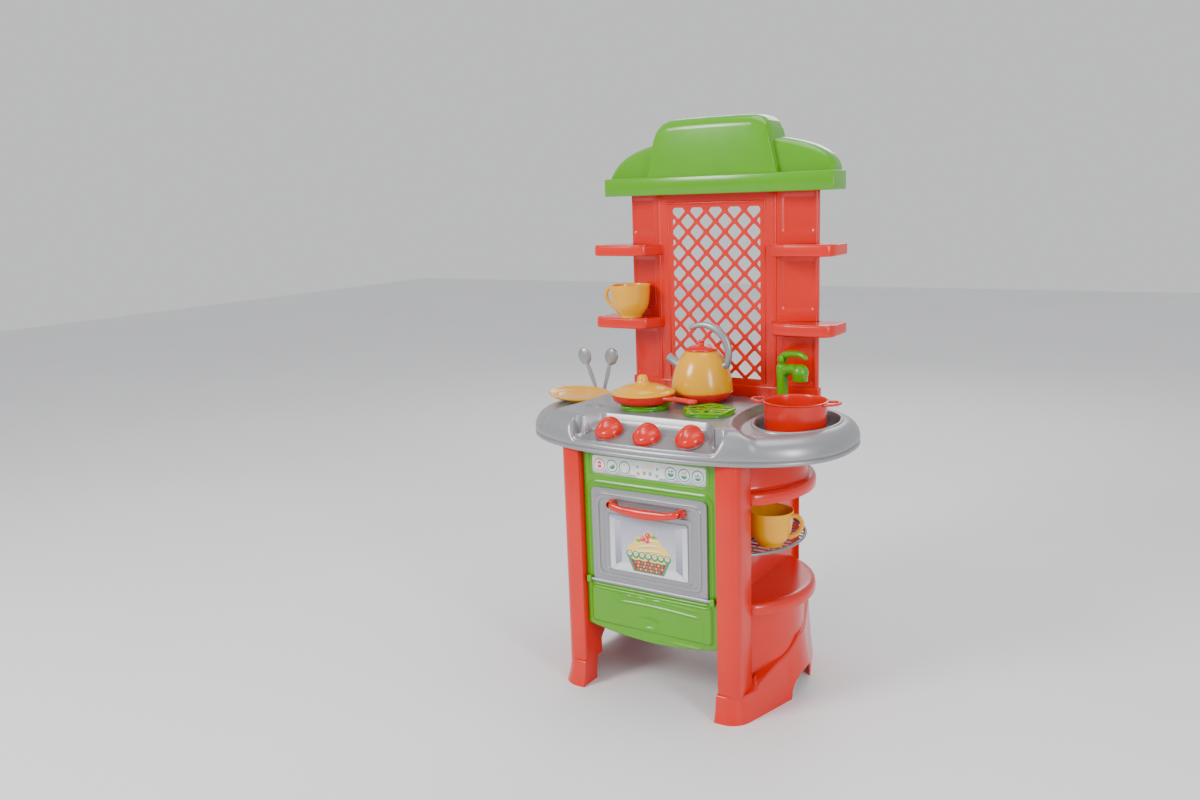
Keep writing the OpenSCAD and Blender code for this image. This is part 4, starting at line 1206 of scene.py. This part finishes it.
def build_tap():
    shape = Shape()
    shape.lathe([(0, -9), (5.9, -9), (5.9, 0.4), (10, 0.4), (11, 1.2), (11, 3.4), (10.2, 4.6), (9.2, 6),
        (8.6, 12), (8.2, 30),
                 (8.4, 44), (9, 56), (9, 63), (8.2, 66), (6, 67.6), (0, 67.9)], 56)
    elbow = [(0, 0, 50), (4, 0, 56), (11, 0, 60), (20, 0, 61), (28, 0, 59)]
    shape.tube(elbow, [7.5, 8, 8, 8.2, 8.4], 24, up=(0, 1, 0))
    shape.lathe([(0, 12), (4.6, 11.1), (8.5, 8.5), (11.1, 4.6), (12, 0), (11.6, -3), (10.8, -6), (10.8,
        -12.4), (10.2, -13),
                 (8.4, -13), (8, -12.4), (8, -5), (0, -5)], 48, (33, 0, 58))
    shape.tube([(-1, 0, 62), (0, 0, 73)], 3.0, 16, up=(0, 1, 0), flat=0.7)
    shape.verts = [tap_place(*v) for v in shape.verts]
    shape.piece("tap_moulding", green, GREEN, "tap", ("tap_body",), sharp=50)
    lever = Shape()
    path = [(-3, 0, 76), (-1, 0, 78), (4, 0, 80.5), (11, 0, 82.5), (20, 0, 83.6), (29, 0, 84), (36, 0,
        83), (42, 0, 80)]
    lever.tube(path, [3.4, 4.6, 5.2, 5.2, 4.8, 4.6, 4.4, 3.6], 24, up=(0, 1, 0), flat=1.0)
    for y in (-4.5, 4.5):
        lever.lathe([(0, -1.5), (4.6, -1.5), (5.4, -0.8), (5.4, 0.8), (4.6, 1.5), (0, 1.5)], 28)
        turn = Matrix.Translation((0, y, 74.5)) @ Matrix.Rotation(math.pi / 2, 4, "X")
        for i in range(len(lever.verts) - 29 * 6, len(lever.verts)):
            lever.verts[i] = tuple(turn @ Vector(lever.verts[i]))
    lever.verts = [tap_place(*v) for v in lever.verts]
    lever.piece("tap_lever_moulding", green, GREEN, "lever", ("tap_lever",), sharp=50)


# ---------- tower ----------

WING_BACK, TOWER_HALF, FRAME_HALF, TOWER_BACK = 17.0, 156.0, 98.0, 113.0
WINDOW = (73.0, 440.0, 697.0)
CELL, BAR = 31.5, 5.0
TOWER_TOP = 729.0
SHELF_TOPS = (529.0, 642.0)


def clip_to_window(points):
    """Clips a convex polygon to the lattice window."""
    half, z0, z1 = WINDOW
    for axis, limit, sign in ((0, half, 1), (0, -half, -1), (1, z1, 1), (1, z0, -1)):
        out = []
        for i, p in enumerate(points):
            q = points[i - 1]
            p_in, q_in = sign * (p[axis] - limit) <= 0, sign * (q[axis] - limit) <= 0
            if p_in != q_in:
                t = (limit - q[axis]) / (p[axis] - q[axis])
                out.append((q[0] + (p[0] - q[0]) * t, q[1] + (p[1] - q[1]) * t))
            if p_in:
                out.append(p)
        points = out
        if not points:
            return []
    return points


def outline_area(points):
    return sum(points[i - 1][0] * p[1] - p[0] * points[i - 1][1] for i, p in enumerate(points)) / 2


def lattice_holes():
    reach = (CELL - BAR * math.sqrt(2)) / 2
    holes = []
    for i in range(-5, 6):
        for j in range(-1, 18):
            if (i + j) % 2:
                continue
            x, z = i * CELL / 2, WINDOW[1] + j * CELL / 2
            diamond = clip_to_window([(x + reach, z), (x, z + reach), (x - reach, z), (x, z - reach)])
            if diamond and outline_area(diamond) > 30:
                holes.append(round_corners(diamond, 3.2, 4))
    return holes


def build_lattice():
    outline = [(-FRAME_HALF, DECK_Z + 8), (FRAME_HALF, DECK_Z + 8), (FRAME_HALF, TOWER_TOP), (-FRAME_HALF,
        TOWER_TOP)]
    holes = [hole[::-1] for hole in lattice_holes()]
    shape = cut_plate(outline, holes, 3.0, 0.9, lambda u, v, w: (u, TOWER_Y + 1.5 - w, v))
    for side in (-1, 1):
        # long ribs beside the window
        x = side * 80.5
        shape.tube([(x, TOWER_Y + 0.2, 436), (x, TOWER_Y + 0.2, 704)], 1.7, 12, up=(0, 1, 0))
        x = side * 96.5
        shape.tube([(x, TOWER_Y + 1.2, 432), (x, TOWER_Y + 1.2, 716)], 2.2, 12, up=(0, 1, 0))
    shape.tube([(-80.5, TOWER_Y + 0.2, 704), (80.5, TOWER_Y + 0.2, 704)], 1.7, 12, up=(0, 1, 0))
    return shape


def wing_relief(s, z):
    """Sunk panels between the shelves on each wing; s runs from the window to the outer edge."""
    depth = 0.0
    for z0, z1 in ((436, 508), (546, 621), (659, 712)):
        depth = max(depth, smooth_step(0.8, -1.6, rect_distance(s - 0.53, (z - z0) / 60, 0.37, 0,
            (z1 - z0) / 60, 0.05) * 60))
    edge = min(s, 1 - s) * 60
    return -2.0 * depth - 1.5 * (1 - smooth_step(0, 2.4, edge))


def build_wings():
    shape = Shape()
    ss = lines_between(0, 1, 1 / 48)
    zs = lines_between(DECK_Z + 8, TOWER_TOP, 2.4)
    slope = Vector((TOWER_HALF - FRAME_HALF, WING_BACK))
    normal = Vector((slope.y, -slope.x)).normalized()

    def place(s, z):
        relief = wing_relief(s, z)
        return FRAME_HALF + slope.x * s + normal.x * relief, TOWER_Y + slope.y * s + normal.y * relief, z

    shape.sheet(ss, zs, place, (-normal.x * 3, -normal.y * 3, 0))
    rim = [(TOWER_HALF - 3, TOWER_Y + WING_BACK + 0.8), (TOWER_HALF, TOWER_Y + WING_BACK + 0.8),
        (TOWER_HALF, TOWER_BACK),
           (TOWER_HALF - 3, TOWER_BACK)]
    shape.prism(round_corners(rim, [0.5, 2, 1, 1], 3), DECK_Z + 8, TOWER_TOP, 0.6)
    return shape


def tower_shelf_outline():
    r = 18.0
    back = 112.0
    line = [(FRAME_HALF - 8, TOWER_Y + 1), (FRAME_HALF - 2, TOWER_Y - 14), (FRAME_HALF + 8, TOWER_Y - 36),
        (FRAME_HALF + 30, 48),
            (198, 48), (198, back), (158, back), (156, 104), (FRAME_HALF, TOWER_Y + 1)]
    return round_corners(line, [1, 10, 12, 16, r, 4, 2, 1, 1], 7)


def build_tower():
    lattice = build_lattice()
    wings = build_wings()
    for z in SHELF_TOPS:
        wings.prism(tower_shelf_outline(), z - 16, z, 2.4, steps=4)
        lip = [(x, y) for x, y in tower_shelf_outline() if y < 100 and x > 104]
        path = [(x - 1.6 * (1 if x > 150 else 0), y + 1.6, z) for x, y in lip]
        wings.tube(path, 1.1, 8)
    foot = [(FRAME_HALF - 10, TOWER_Y - 2), (FRAME_HALF, TOWER_Y - 2), (TOWER_HALF + 3,
        TOWER_Y + WING_BACK - 2),
            (TOWER_HALF + 3, TOWER_BACK), (TOWER_HALF - 2, TOWER_BACK), (TOWER_HALF - 2,
            TOWER_Y + WING_BACK + 3),
            (FRAME_HALF, TOWER_Y + 3), (FRAME_HALF - 10, TOWER_Y + 3)]
    wings.prism(round_corners(foot, [0, 2, 3, 1, 0, 0, 0, 0], 3), DECK_Z - 1, 430, 1.6)
    lattice.prism([(-FRAME_HALF + 9, TOWER_Y - 2), (FRAME_HALF - 9, TOWER_Y - 2), (FRAME_HALF - 9,
        TOWER_Y + 3),
                   (-FRAME_HALF + 9, TOWER_Y + 3)], DECK_Z + 8, 430, 1.6)
    both = Shape()
    for shape in (lattice, wings, wings.mirrored()):
        both.add(shape.verts, shape.faces)
    return both.piece("tower_moulding", red, RED, replaces=("tower",), sharp=45)


# ---------- hood ----------

HOOD_HALF, HOOD_Z, HOOD_TOP, HOOD_BACK, BAND_H = 189.0, HOOD_LOW[2], HOOD_HIGH[2], HOOD_HIGH[1], 27.0
HOOD_SAG = 17.0
HOOD_CURVE = (HOOD_HALF ** 2 + HOOD_SAG ** 2) / (2 * HOOD_SAG)


def hood_front(x, inset=0.0):
    """The bowed front line of the hood in plan."""
    radius = HOOD_CURVE - inset
    return TOWER_Y - 9 - HOOD_SAG + HOOD_CURVE - math.sqrt(radius * radius - x * x)


def band_ring(inset, z):
    half = HOOD_HALF - inset
    xs = [half * (-1 + k / 40) for k in range(81)]
    line = [(x, hood_front(x, inset)) for x in xs] + [(half, HOOD_BACK - inset), (-half, HOOD_BACK - inset)]
    rounded = round_corners(line, [6] + [0] * 79 + [6, 3, 3], 5)
    return [(x, y, z) for x, y in rounded]


def build_ridge(shape, outline, front_inset, base, edge_radius, back):
    """A solid under a front-view outline of (x, top) points, with its front and back top edges rounded."""
    rings = []
    steps = 8
    for x, top in outline:
        front = hood_front(x, front_inset)
        reach = max(0.05, min(edge_radius, (top - base) * 0.96, 30))
        ring = [(x, front, base)]
        for k in range(steps + 1):
            a = math.pi / 2 * k / steps
            ring.append((x, front + reach * (1 - math.cos(a)) * 1.15, top - reach + reach * math.sin(a)))
        back_reach = min(5.0, reach)
        for k in range(steps + 1):
            a = math.pi / 2 * k / steps
            ring.append((x, back - back_reach * (1 - math.sin(a)),
                top - back_reach + back_reach * math.cos(a)))
        ring.append((x, back, base))
        rings.append(ring)
    shape.loft(rings, cap_start=True, cap_end=True)


def build_hood():
    shape = Shape()
    z0, z1 = HOOD_Z, HOOD_Z + BAND_H
    rings = [band_ring(t, z) for t, z in ((2.5, z0 + 0.5), (2.0, z0), (0.8, z0), (0, z0 + 0.8), (0,
        z1 - 2.2), (0.7, z1 - 0.6),
                                          (2.2, z1), (7, z1 + 0.2))]
    inner = [band_ring(t, z) for t, z in ((7, z1 - 2.5), (2.5, z1 - 3), (2.5, z0 + 0.5))]
    shape.loft(rings, cap_end=True)
    shape.loft(inner, cap_start=True)
    base = z1 - 1
    lobe = []
    for k in range(-48, 49):
        u = k / 48
        a = math.radians(90 * (1 - abs(u)))
        x = math.copysign(184 * math.cos(a) ** 0.9, u) if k else 0.0
        lobe.append((x, base + 0.6 + 57 * math.sin(a) ** 0.85))
    build_ridge(shape, lobe, 14, base, 15, HOOD_BACK - 3)
    half = [(107, base + 0.3), (104, base + 16), (97, base + 52), (94, base + 64), (89, base + 74), (81,
        HOOD_TOP - 4.5),
            (69, HOOD_TOP - 0.9), (42, HOOD_TOP - 0.1)]
    right = round_corners(half, 8, 5, closed=False)
    block = [(-x, z) for x, z in right] + [(0, HOOD_TOP)] + right[::-1]
    build_ridge(shape, block, 3.5, base, 17, HOOD_BACK - 0.5)
    return shape.piece("hood_moulding", green, GREEN, replaces=("hood",), sharp=48)


# ---------- cookware ----------

def build_cup(name, node, body, origin, turn):
    """Tea cup: thin rolled rim, bowl that narrows to a small foot, and an ear handle."""
    outside = [(0, 0), (14, 0), (16.6, 0.3), (17.4, 1.6), (17.2, 3.2), (19.5, 6), (23.4, 10.5), (26.8,
        16.5),
               (28.8, 23), (30, 31), (30.9, 41), (31.4, 49), (31.9, 51), (31.8, 51.7), (31.2, 52), (30.4,
               51.6),
               (29.9, 50), (29.3, 41), (28.4, 31), (27.2, 23), (25.2, 17), (21.8, 11.2), (17, 6.2), (12,
               4), (0, 3.4)]
    shape = Shape().lathe(outside, 96)
    ear = [(28.5, 0, 43), (33, 0, 46), (39, 0, 45.5), (43.5, 0, 41), (44.6, 0, 34), (42.6, 0, 27), (38, 0,
        21), (32, 0, 16.5),
           (26.5, 0, 14.5)]
    path = smooth_path(ear, 5)
    shape.tube(path, [2.3] * len(path), 16, flat=1.35, up=(0, 1, 0))
    shape.moved(Matrix.Translation(origin) @ Matrix.Rotation(turn, 4, "Z"))
    return shape.piece(name, yellow, YELLOW, body, (node,), sharp=60)


def smooth_path(points, steps):
    """A Catmull-Rom curve through the points."""
    points = [Vector(p) for p in points]
    ends = [points[0] * 2 - points[1]] + points + [points[-1] * 2 - points[-2]]
    out = []
    for i in range(1, len(ends) - 2):
        p0, p1, p2, p3 = ends[i - 1:i + 3]
        for k in range(steps):
            t = k / steps
            out.append(0.5 * (2 * p1 + (p2 - p0) * t + (2 * p0 - 5 * p1 + 4 * p2 - p3) * t * t
                              + (3 * p1 - p0 - 3 * p2 + p3) * t ** 3))
    return out + [points[-1]]


KETTLE = Vector((0.0, 38.0, 427.2))


def kettle_radius(z):
    return 46.0 * math.sqrt(max(0.0, 1 - (z / 70) ** 2))


def build_kettle():
    base = Shape().lathe([(0, -15), (30, -15), (36, -14), (41, -9.5), (45.4, -4.4), (46.8, -1.8), (46.9,
        -0.6), (46.2, -0.1),
                          (44, 0), (0, 0)], 112, KETTLE)
    base.piece("kettle_base_moulding", red, RED, "kettle", ("kettle_base",))
    top, wall = 61.0, 2.2
    outside = [(44.6, 0.1), (45.6, 0.4)] + [(kettle_radius(z),
        z) for z in (2 + (top - 2) * k / 26 for k in range(27))]
    inside = [(kettle_radius(z) - wall, z) for z in (top - (top - 4) * k / 20 for k in range(21))]
    body = Shape().lathe([(0, 0.1)] + outside + [(21.5, top + 0.2)] + inside + [(40, 2.6), (0, 2.5)], 128,
        KETTLE)
    body.piece("kettle_body_moulding", yellow, YELLOW, "kettle", ("kettle_body",), sharp=55)
    lean = math.radians(58)
    start, along = Vector((-30, 0, 31)), Vector((-math.sin(lean), 0, math.cos(lean)))
    stations = ((0, 7.4), (4, 7.6), (10, 7.2), (20, 6.8), (27, 6.6), (29, 6.9), (31.2, 6.9), (31.6, 6.2),
        (31.2, 5.0), (26, 4.6),
                (20, 4.5))
    # a tube that doubles back keeps its section square to the spout
    spout = Shape()
    side, rise = Vector((0, 1, 0)), along.cross(Vector((0, 1, 0)))
    rings = [[KETTLE + start + along * s + side * (r * math.cos(a)) + rise * (r * math.sin(a))
              for a in (2 * math.pi * k / 32 for k in range(32))] for s, r in stations]
    spout.loft(rings, cap_start=True, cap_end=True)
    spout.piece("kettle_spout_moulding", silver, SILVER, "kettle", ("kettle_spout",))
    handle = Shape()
    path, radii = [], []
    for k in range(37):
        u = k / 36
        a = math.radians(-27 + 146 * u)
        centre = KETTLE + Vector((3.4 - 1.0 * u, 0, 58.8 - 1.2 * u))
        path.append(centre + Vector((math.cos(a), 0, math.sin(a))) * (41.4 - 0.4 * u))
        radii.append(5.2 - 0.4 * bump(u - 0.1, 0.2) - 2.0 * smooth_step(0.55, 1.0, u))
    handle.tube(path, radii, 24, flat=1.15, up=(0, 1, 0))
    foot = KETTLE + Vector((kettle_radius(38) - 4, 0, 38))
    handle.tube([foot, foot + Vector((5.0, 0, 2.6))], [6.2, 5.4], 24, up=(0, 1, 0))
    handle.piece("kettle_handle_moulding", silver, SILVER, "kettle", ("kettle_handle",), sharp=60)
    lid = Shape().lathe([(0, -5), (16.4, -5), (17, -4.4), (17, -0.2), (23, 0), (24, 0.5), (24, 1.6), (23,
        2.6), (19, 4.6),
                         (13.5, 6.7), (8, 7.8), (4.8, 8.4), (4.2, 9.6), (4.0, 11.4), (4.8, 12.4), (5.0,
                         13.6), (4.2, 14.6),
                         (2.4, 15), (0, 15)], 96, (0, 38, 488.5))
    lid.piece("kettle_lid_moulding", red, RED, "kettle_cover", ("kettle_lid",), sharp=50)


PAN = Vector((-55.0, -44.0, 419.3))


def build_pan():
    shape = Shape().lathe([(0, 0), (32, 0), (35, 0.4), (39, 2), (43.4, 5), (45.4, 9), (46.6, 12.6), (47,
        13.6), (46.6, 14),
                           (45.4, 14), (44.8, 13.4), (43.6, 9.6), (41.8, 6.2), (38, 3.7), (34, 2.5), (0,
                           2.2)], 112)
    line = [(44, -9), (52, -7), (64, -6.0), (84, -6.8), (92, -8)] + arc(93, 0, 8, -90, 90, 16)
    line += [(92, 8), (84, 6.8), (64, 6.0), (52, 7), (44, 9)]
    hole = round_corners([(86, -1.6), (97, -2.6), (97, 2.6), (86, 1.6)], 1.6, 4)[::-1]
    grip = cut_plate(line, [hole], 4.5, 1.7, lambda u, v, w: (u, v, 11.2 + w + 0.4 * bump(u - 70, 26)))
    shape.add(grip.verts, grip.faces)
    shape.moved(Matrix.Translation(PAN) @ Matrix.Rotation(math.radians(-12), 4, "Z"))
    shape.piece("frying_pan_moulding", red, RED, "pan", ("frying_pan",), sharp=50)
    lid = Shape().lathe([(0, 10.2), (20, 9), (36, 4), (44, 1), (46, 0.1), (46.9, 0.6), (47, 2.2), (46,
        2.9), (41, 4.6),
                         (38.6, 5.0), (37, 6.6), (31, 9.8), (24, 12.2), (17, 13.8), (12.2, 14.4), (9.8,
                         15.4), (8.8, 17),
                         (7.8, 20), (7.6, 22.4), (6.8, 24.8), (5, 26.6), (2.6, 27.4), (0, 27.5)], 112,
                        PAN + Vector((0, 0, 14.2)))
    lid.piece("pan_lid_moulding", yellow, YELLOW, "pan_cover", ("pan_lid",), sharp=50)


def build_plate():
    shape = Shape().lathe([(0, 0.2), (28, 0.2), (29.5, 0), (31, 0.3), (32.4, 2), (40, 3.6), (46, 5.2),
        (49.4, 7.6),
                           (49.9, 8.6), (49.6, 9.4), (48.8, 9.5), (46, 7.6), (42, 6.3), (35, 4.9), (33.4,
                           4.9),
                           (31.4, 3.7), (29.4, 3.1), (0, 3)], 112)
    tilt = Matrix.Rotation(math.radians(4), 4, "Y")
    shape.moved(Matrix.Translation((-199, 2, 405.8)) @ tilt)
    shape.piece("plate_moulding", yellow, YELLOW, "dish", ("plate",), sharp=50)


def build_spoon(node, body, x, lean):
    """A spoon standing in its well: flat handle and a cupped oval bowl."""
    shape = Shape()
    stations = 40
    rings = []
    for i in range(stations + 1):
        s = -9.6 + (76.1 + 9.6) * i / stations
        u = max(0.0, (s - 47.6) / 28.7)
        bowl = math.sqrt(max(0.0, 1 - (2 * u - 1) ** 2)) if u > 0 else 0.0
        half = max(2.5 + 0.8 * smooth_step(10, 30, s) * (1 - smooth_step(34, 46, s)), 12.2 * bowl)
        if u > 0.5:
            half = max(0.4, 12.2 * bowl)
        depth = 3.4 * bowl
        thick = 1.1 if u > 0 else 1.6
        ring = []
        for k in range(11):
            v = -1 + k / 5
            ring.append((half * v, depth * (v * v - 1) + thick, s))
        for k in range(11):
            v = 1 - k / 5
            ring.append((half * v, depth * (v * v - 1) - thick + 0.5, s))
        rings.append(ring)
    shape.loft(rings, cap_start=True, cap_end=True)
    shape.moved(Matrix.Translation((x, 80, DECK_Z)) @ Matrix.Rotation(lean, 4, "Y"))
    shape.piece(f"{node}_moulding", silver, SILVER, body, (node,), sharp=60)


def build_pot():
    shape = Shape()
    r, h = 44.0, 58.0
    shape.lathe([(0, 0), (38, 0), (40.2, 0.6), (41.2, 2.2), (42.2, 20), (43.6, 50), (43.9, 55.4), (45.4,
        56), (46, 56.8), (46, 57.6),
                 (45.2, 58), (43.2, 58), (42.2, 57.2), (41.8, 55), (41.4, 48), (40.2, 20), (39.2, 4), (37,
                 2.3), (0, 2)], 128)
    for side in (-1, 1):
        loop = [(side * (r - 1), -13, h - 3), (side * (r + 7), -13.6, h - 2.4), (side * (r + 15), -9.5,
            h - 1.8),
                (side * (r + 18.4), 0, h - 1.8), (side * (r + 15), 9.5, h - 1.8), (side * (r + 7), 13.6,
                h - 2.4),
                (side * (r - 1), 13, h - 3)]
        path = smooth_path(loop, 6)
        shape.tube(path, [1.9] * len(path), 14, flat=1.35, up=(0, 0, 1))
    shape.moved(Matrix.Translation((165, 0, 374.3)) @ Matrix.Rotation(math.radians(6), 4, "Z"))
    shape.piece("pot_moulding", red, RED, "saucepan", ("pot",), sharp=50)


# ---------- build the kitchen ----------

build_front_panel()
build_oven_door()
build_door_handle()
build_control_label()
build_window_label()
build_side_units()
build_worktop()
build_burners()
for knob_name, knob_place, grip in (("left", -1, -0.45), ("middle", 0, -0.45), ("right", 1, -0.45)):
    build_knob(knob_name, knob_place, grip)
build_tap()
build_tower()
build_hood()
build_cup("shelf_cup_moulding", "upper_cup", "cup_on_shelf", (-137, 63, 529.2), math.radians(180))
build_cup("rack_cup_moulding", "lower_cup", "cup_on_rack", (144, -38, 229.2), math.radians(8))
build_kettle()
build_pan()
build_plate()
build_spoon("left_spoon", "spoon_a", -217, math.radians(-21))
build_spoon("right_spoon", "spoon_b", -204, math.radians(16))
build_pot()
# the back panel and oven shelf take the darker silver, painted shade inside the oven; the hinge pins take
# plain silver
for carried in ("back_panel", "oven_shelf", "door_hinge_pins"):
    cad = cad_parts[carried]
    cad.data.materials.clear()
    cad.data.materials.append(shade_painted_silver if carried != "door_hinge_pins" else silver)


# ---------- floor, lights and camera ----------

def build_floor():
    mesh = bpy.data.meshes.new("floor")
    s = 6.0
    mesh.from_pydata([(-s, -s, 0), (s, -s, 0), (s, s, 0), (-s, s, 0)], [], [(0, 1, 2, 3)])
    floor = bpy.data.objects.new("floor", mesh)
    bpy.context.scene.collection.objects.link(floor)
    material, tree, shader, coords = new_material("studio_floor")
    tint = ramp(tree, noise(tree, coords, 1.5, 2), 0.3, 0.7, (0.8, 0.8, 0.81), (0.83, 0.83, 0.84))
    tree.links.new(tint, shader.inputs["Base Color"])
    shader.inputs["Roughness"].default_value = 0.55
    mesh.materials.append(material)


def add_softbox(name, place, target, width, height, power):
    light = bpy.data.lights.new(name, "AREA")
    light.shape = "RECTANGLE"
    light.size, light.size_y, light.energy = width, height, power
    lamp = bpy.data.objects.new(name, light)
    lamp.location = place
    lamp.rotation_euler = (Vector(target) - Vector(place)).to_track_quat("-Z", "Y").to_euler()
    bpy.context.scene.collection.objects.link(lamp)


def build_studio():
    world = bpy.data.worlds.new("studio")
    bpy.context.scene.world = world
    world.use_nodes = True
    world.node_tree.nodes["Background"].inputs["Color"].default_value = (0.93, 0.94, 0.96, 1)
    world.node_tree.nodes["Background"].inputs["Strength"].default_value = 0.8
    middle = (0, 0, 0.42)
    add_softbox("key_softbox", (-1.1, -1.9, 1.75), middle, 0.7, 0.9, 52)
    add_softbox("right_softbox", (1.9, -1.0, 1.1), middle, 0.4, 1.1, 22)
    add_softbox("top_softbox", (0.2, 0.3, 2.3), middle, 1.2, 1.2, 14)
    add_softbox("back_softbox", (-0.6, 2.1, 1.5), middle, 1.2, 0.8, 12)


def build_camera():
    data = bpy.data.cameras.new("camera")
    camera = bpy.data.objects.new("camera", data)
    bpy.context.scene.collection.objects.link(camera)
    yaw, pitch, roll = (math.radians(a) for a in CAMERA_TURN)
    data.sensor_width = 36.0
    data.lens = CAMERA_LENS
    camera.location = CAMERA_PLACE
    camera.matrix_world = (Matrix.Translation(CAMERA_PLACE) @ Matrix.Rotation(yaw, 4, "Z")
                           @ Matrix.Rotation(math.pi / 2 + pitch, 4, "X") @ Matrix.Rotation(roll, 4, "Z"))
    bpy.context.scene.camera = camera


CAMERA_PLACE = Vector((0.716, -1.338, 0.723))
CAMERA_TURN = (33.2, -11.2, -2.0)
CAMERA_LENS = 31.3

build_floor()
build_studio()
build_camera()
